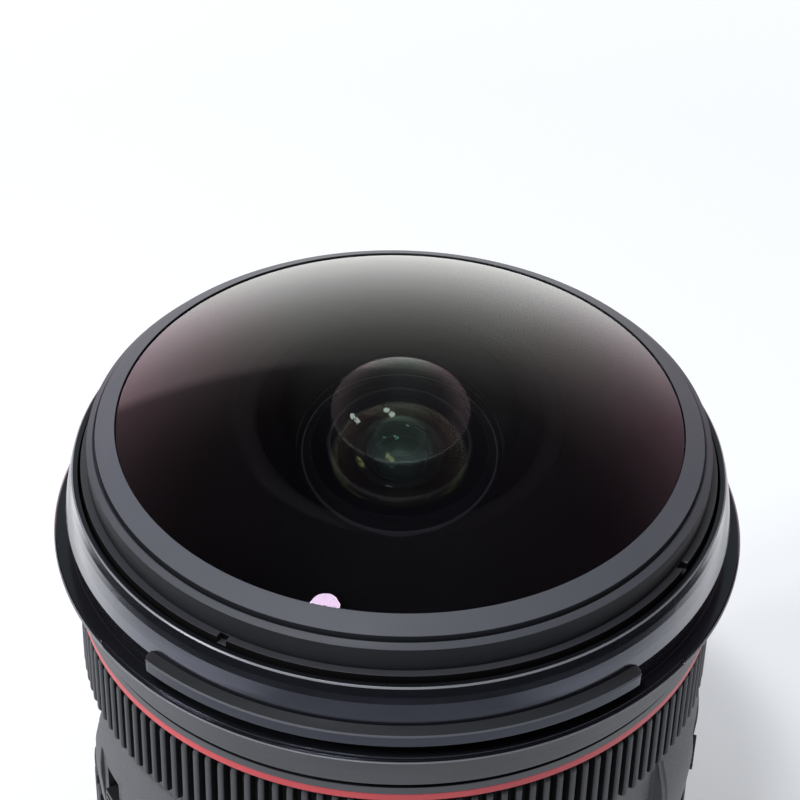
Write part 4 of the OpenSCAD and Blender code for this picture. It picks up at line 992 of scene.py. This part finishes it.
def makeWorld():
    world = bpy.data.worlds.new("studioWorld")
    scene.world = world
    world.use_nodes = True
    tree = world.node_tree
    tree.nodes.clear()
    link = tree.links.new
    coords = addNode(tree, "ShaderNodeTexCoord")
    split = addNode(tree, "ShaderNodeSeparateXYZ")
    link(coords.outputs["Generated"], split.inputs[0])
    x, y, z = (split.outputs[axis] for axis in "XYZ")
    ahead = fade(tree, y, studio["frontSpan"], (studio["frontDim"], 1.0))
    # what reflections meet: a room that is darker overhead, under the horizon and behind a wall on the left
    tones = addNode(tree, "ShaderNodeVectorMath", operation="MULTIPLY")
    link(toneRamp(tree, studio["heights"], z), tones.inputs[0])
    link(toneRamp(tree, studio["sides"], fade(tree, x, (-1.0, 1.0))), tones.inputs[1])
    level = studio["roomLevel"]
    under = fade(tree, z, studio["underSpan"], (studio["underDim"] * level, level))
    wall = mathNode(tree, "MULTIPLY", fade(tree, y, studio["wallSpan"], (1.0, 0.0)),
                    fade(tree, x, studio["leftSpan"], (studio["leftWall"], 0.0)))
    past = addNode(tree, "ShaderNodeMath", {0: 1.0}, operation="SUBTRACT")
    link(wall, past.inputs[1])
    bright = mathNode(tree, "MULTIPLY", ahead, mathNode(tree, "MULTIPLY", under, past.outputs[0]))
    room = addNode(tree, "ShaderNodeVectorMath", operation="SCALE")
    link(tones.outputs[0], room.inputs[0])
    link(bright, room.inputs["Scale"])
    mirrored = addNode(tree, "ShaderNodeMixRGB")
    link(addNode(tree, "ShaderNodeLightPath").outputs["Is Camera Ray"], mirrored.inputs[0])
    link(room.outputs[0], mirrored.inputs[1])
    mirrored.inputs[2].default_value = (1, 1, 1, 1)
    seen = addNode(tree, "ShaderNodeBackground", {"Strength": 1.0})
    link(mirrored.outputs[0], seen.inputs["Color"])
    # what lights the object: a soft sky that fades to the right
    soft = addNode(tree, "ShaderNodeBackground", {"Color": (*studio["skyTone"], 1)})
    sky = fade(tree, x, studio["skySpan"], studio["sky"])
    link(mathNode(tree, "MULTIPLY", ahead, sky), soft.inputs["Strength"])
    mix = addNode(tree, "ShaderNodeMixShader")
    link(seenRays(tree), mix.inputs[0])
    link(soft.outputs[0], mix.inputs[1])
    link(seen.outputs[0], mix.inputs[2])
    out = addNode(tree, "ShaderNodeOutputWorld")
    link(mix.outputs[0], out.inputs["Surface"])


# two pairs of round lamps, all aimed at the collar
lampAim = (0, 0, 0.06)
lampTable = {
    "lampLeft": {"place": (-0.319, -0.3125, 1.2475), "size": 0.146, "power": 2.9},
    "lampRight": {"place": (-0.2, -0.431, 1.236), "size": 0.146, "power": 2.9},
    "sideLeft": {"place": (-1.28, -0.42, 0.94), "size": 0.187, "power": 4.7},
    "sideRight": {"place": (-1.16, -0.6, 0.98), "size": 0.187, "power": 4.7},
}


def makeLamps():
    for name, row in lampTable.items():
        data = bpy.data.lights.new(name, "AREA")
        data.shape, data.size, data.energy = "DISK", row["size"], row["power"]
        lamp = bpy.data.objects.new(name, data)
        scene.collection.objects.link(lamp)
        lamp.location = row["place"]
        lamp.rotation_mode = "QUATERNION"
        lamp.rotation_quaternion = (Vector(lampAim) - Vector(row["place"])).to_track_quat("-Z", "Y")


# a dark screen round the front of the lens, met only by reflections
card = {"across": 0.167, "ahead": 0.224, "startDeg": -205, "endDeg": 25, "high": 0.09, "steps": 48}


def makeCard():
    verts = []
    for i in range(card["steps"] + 1):
        turn = math.radians(card["startDeg"] + (card["endDeg"] - card["startDeg"]) * i / card["steps"])
        x, y = card["across"] * math.cos(turn), card["ahead"] * math.sin(turn)
        verts += [(x, y, cadLow.z), (x, y, card["high"])]
    mesh = bpy.data.meshes.new("darkCard")
    mesh.from_pydata(verts, [], [(2 * i, 2 * i + 2, 2 * i + 3, 2 * i + 1) for i in range(card["steps"])])
    piece = linkMesh("darkCard", mesh)
    mesh.materials.append(finishes["edgePaint"])
    piece.visible_camera = piece.visible_diffuse = piece.visible_shadow = piece.visible_transmission = False


makeFloor()
makeWorld()
makeLamps()
makeCard()
print("stage set")
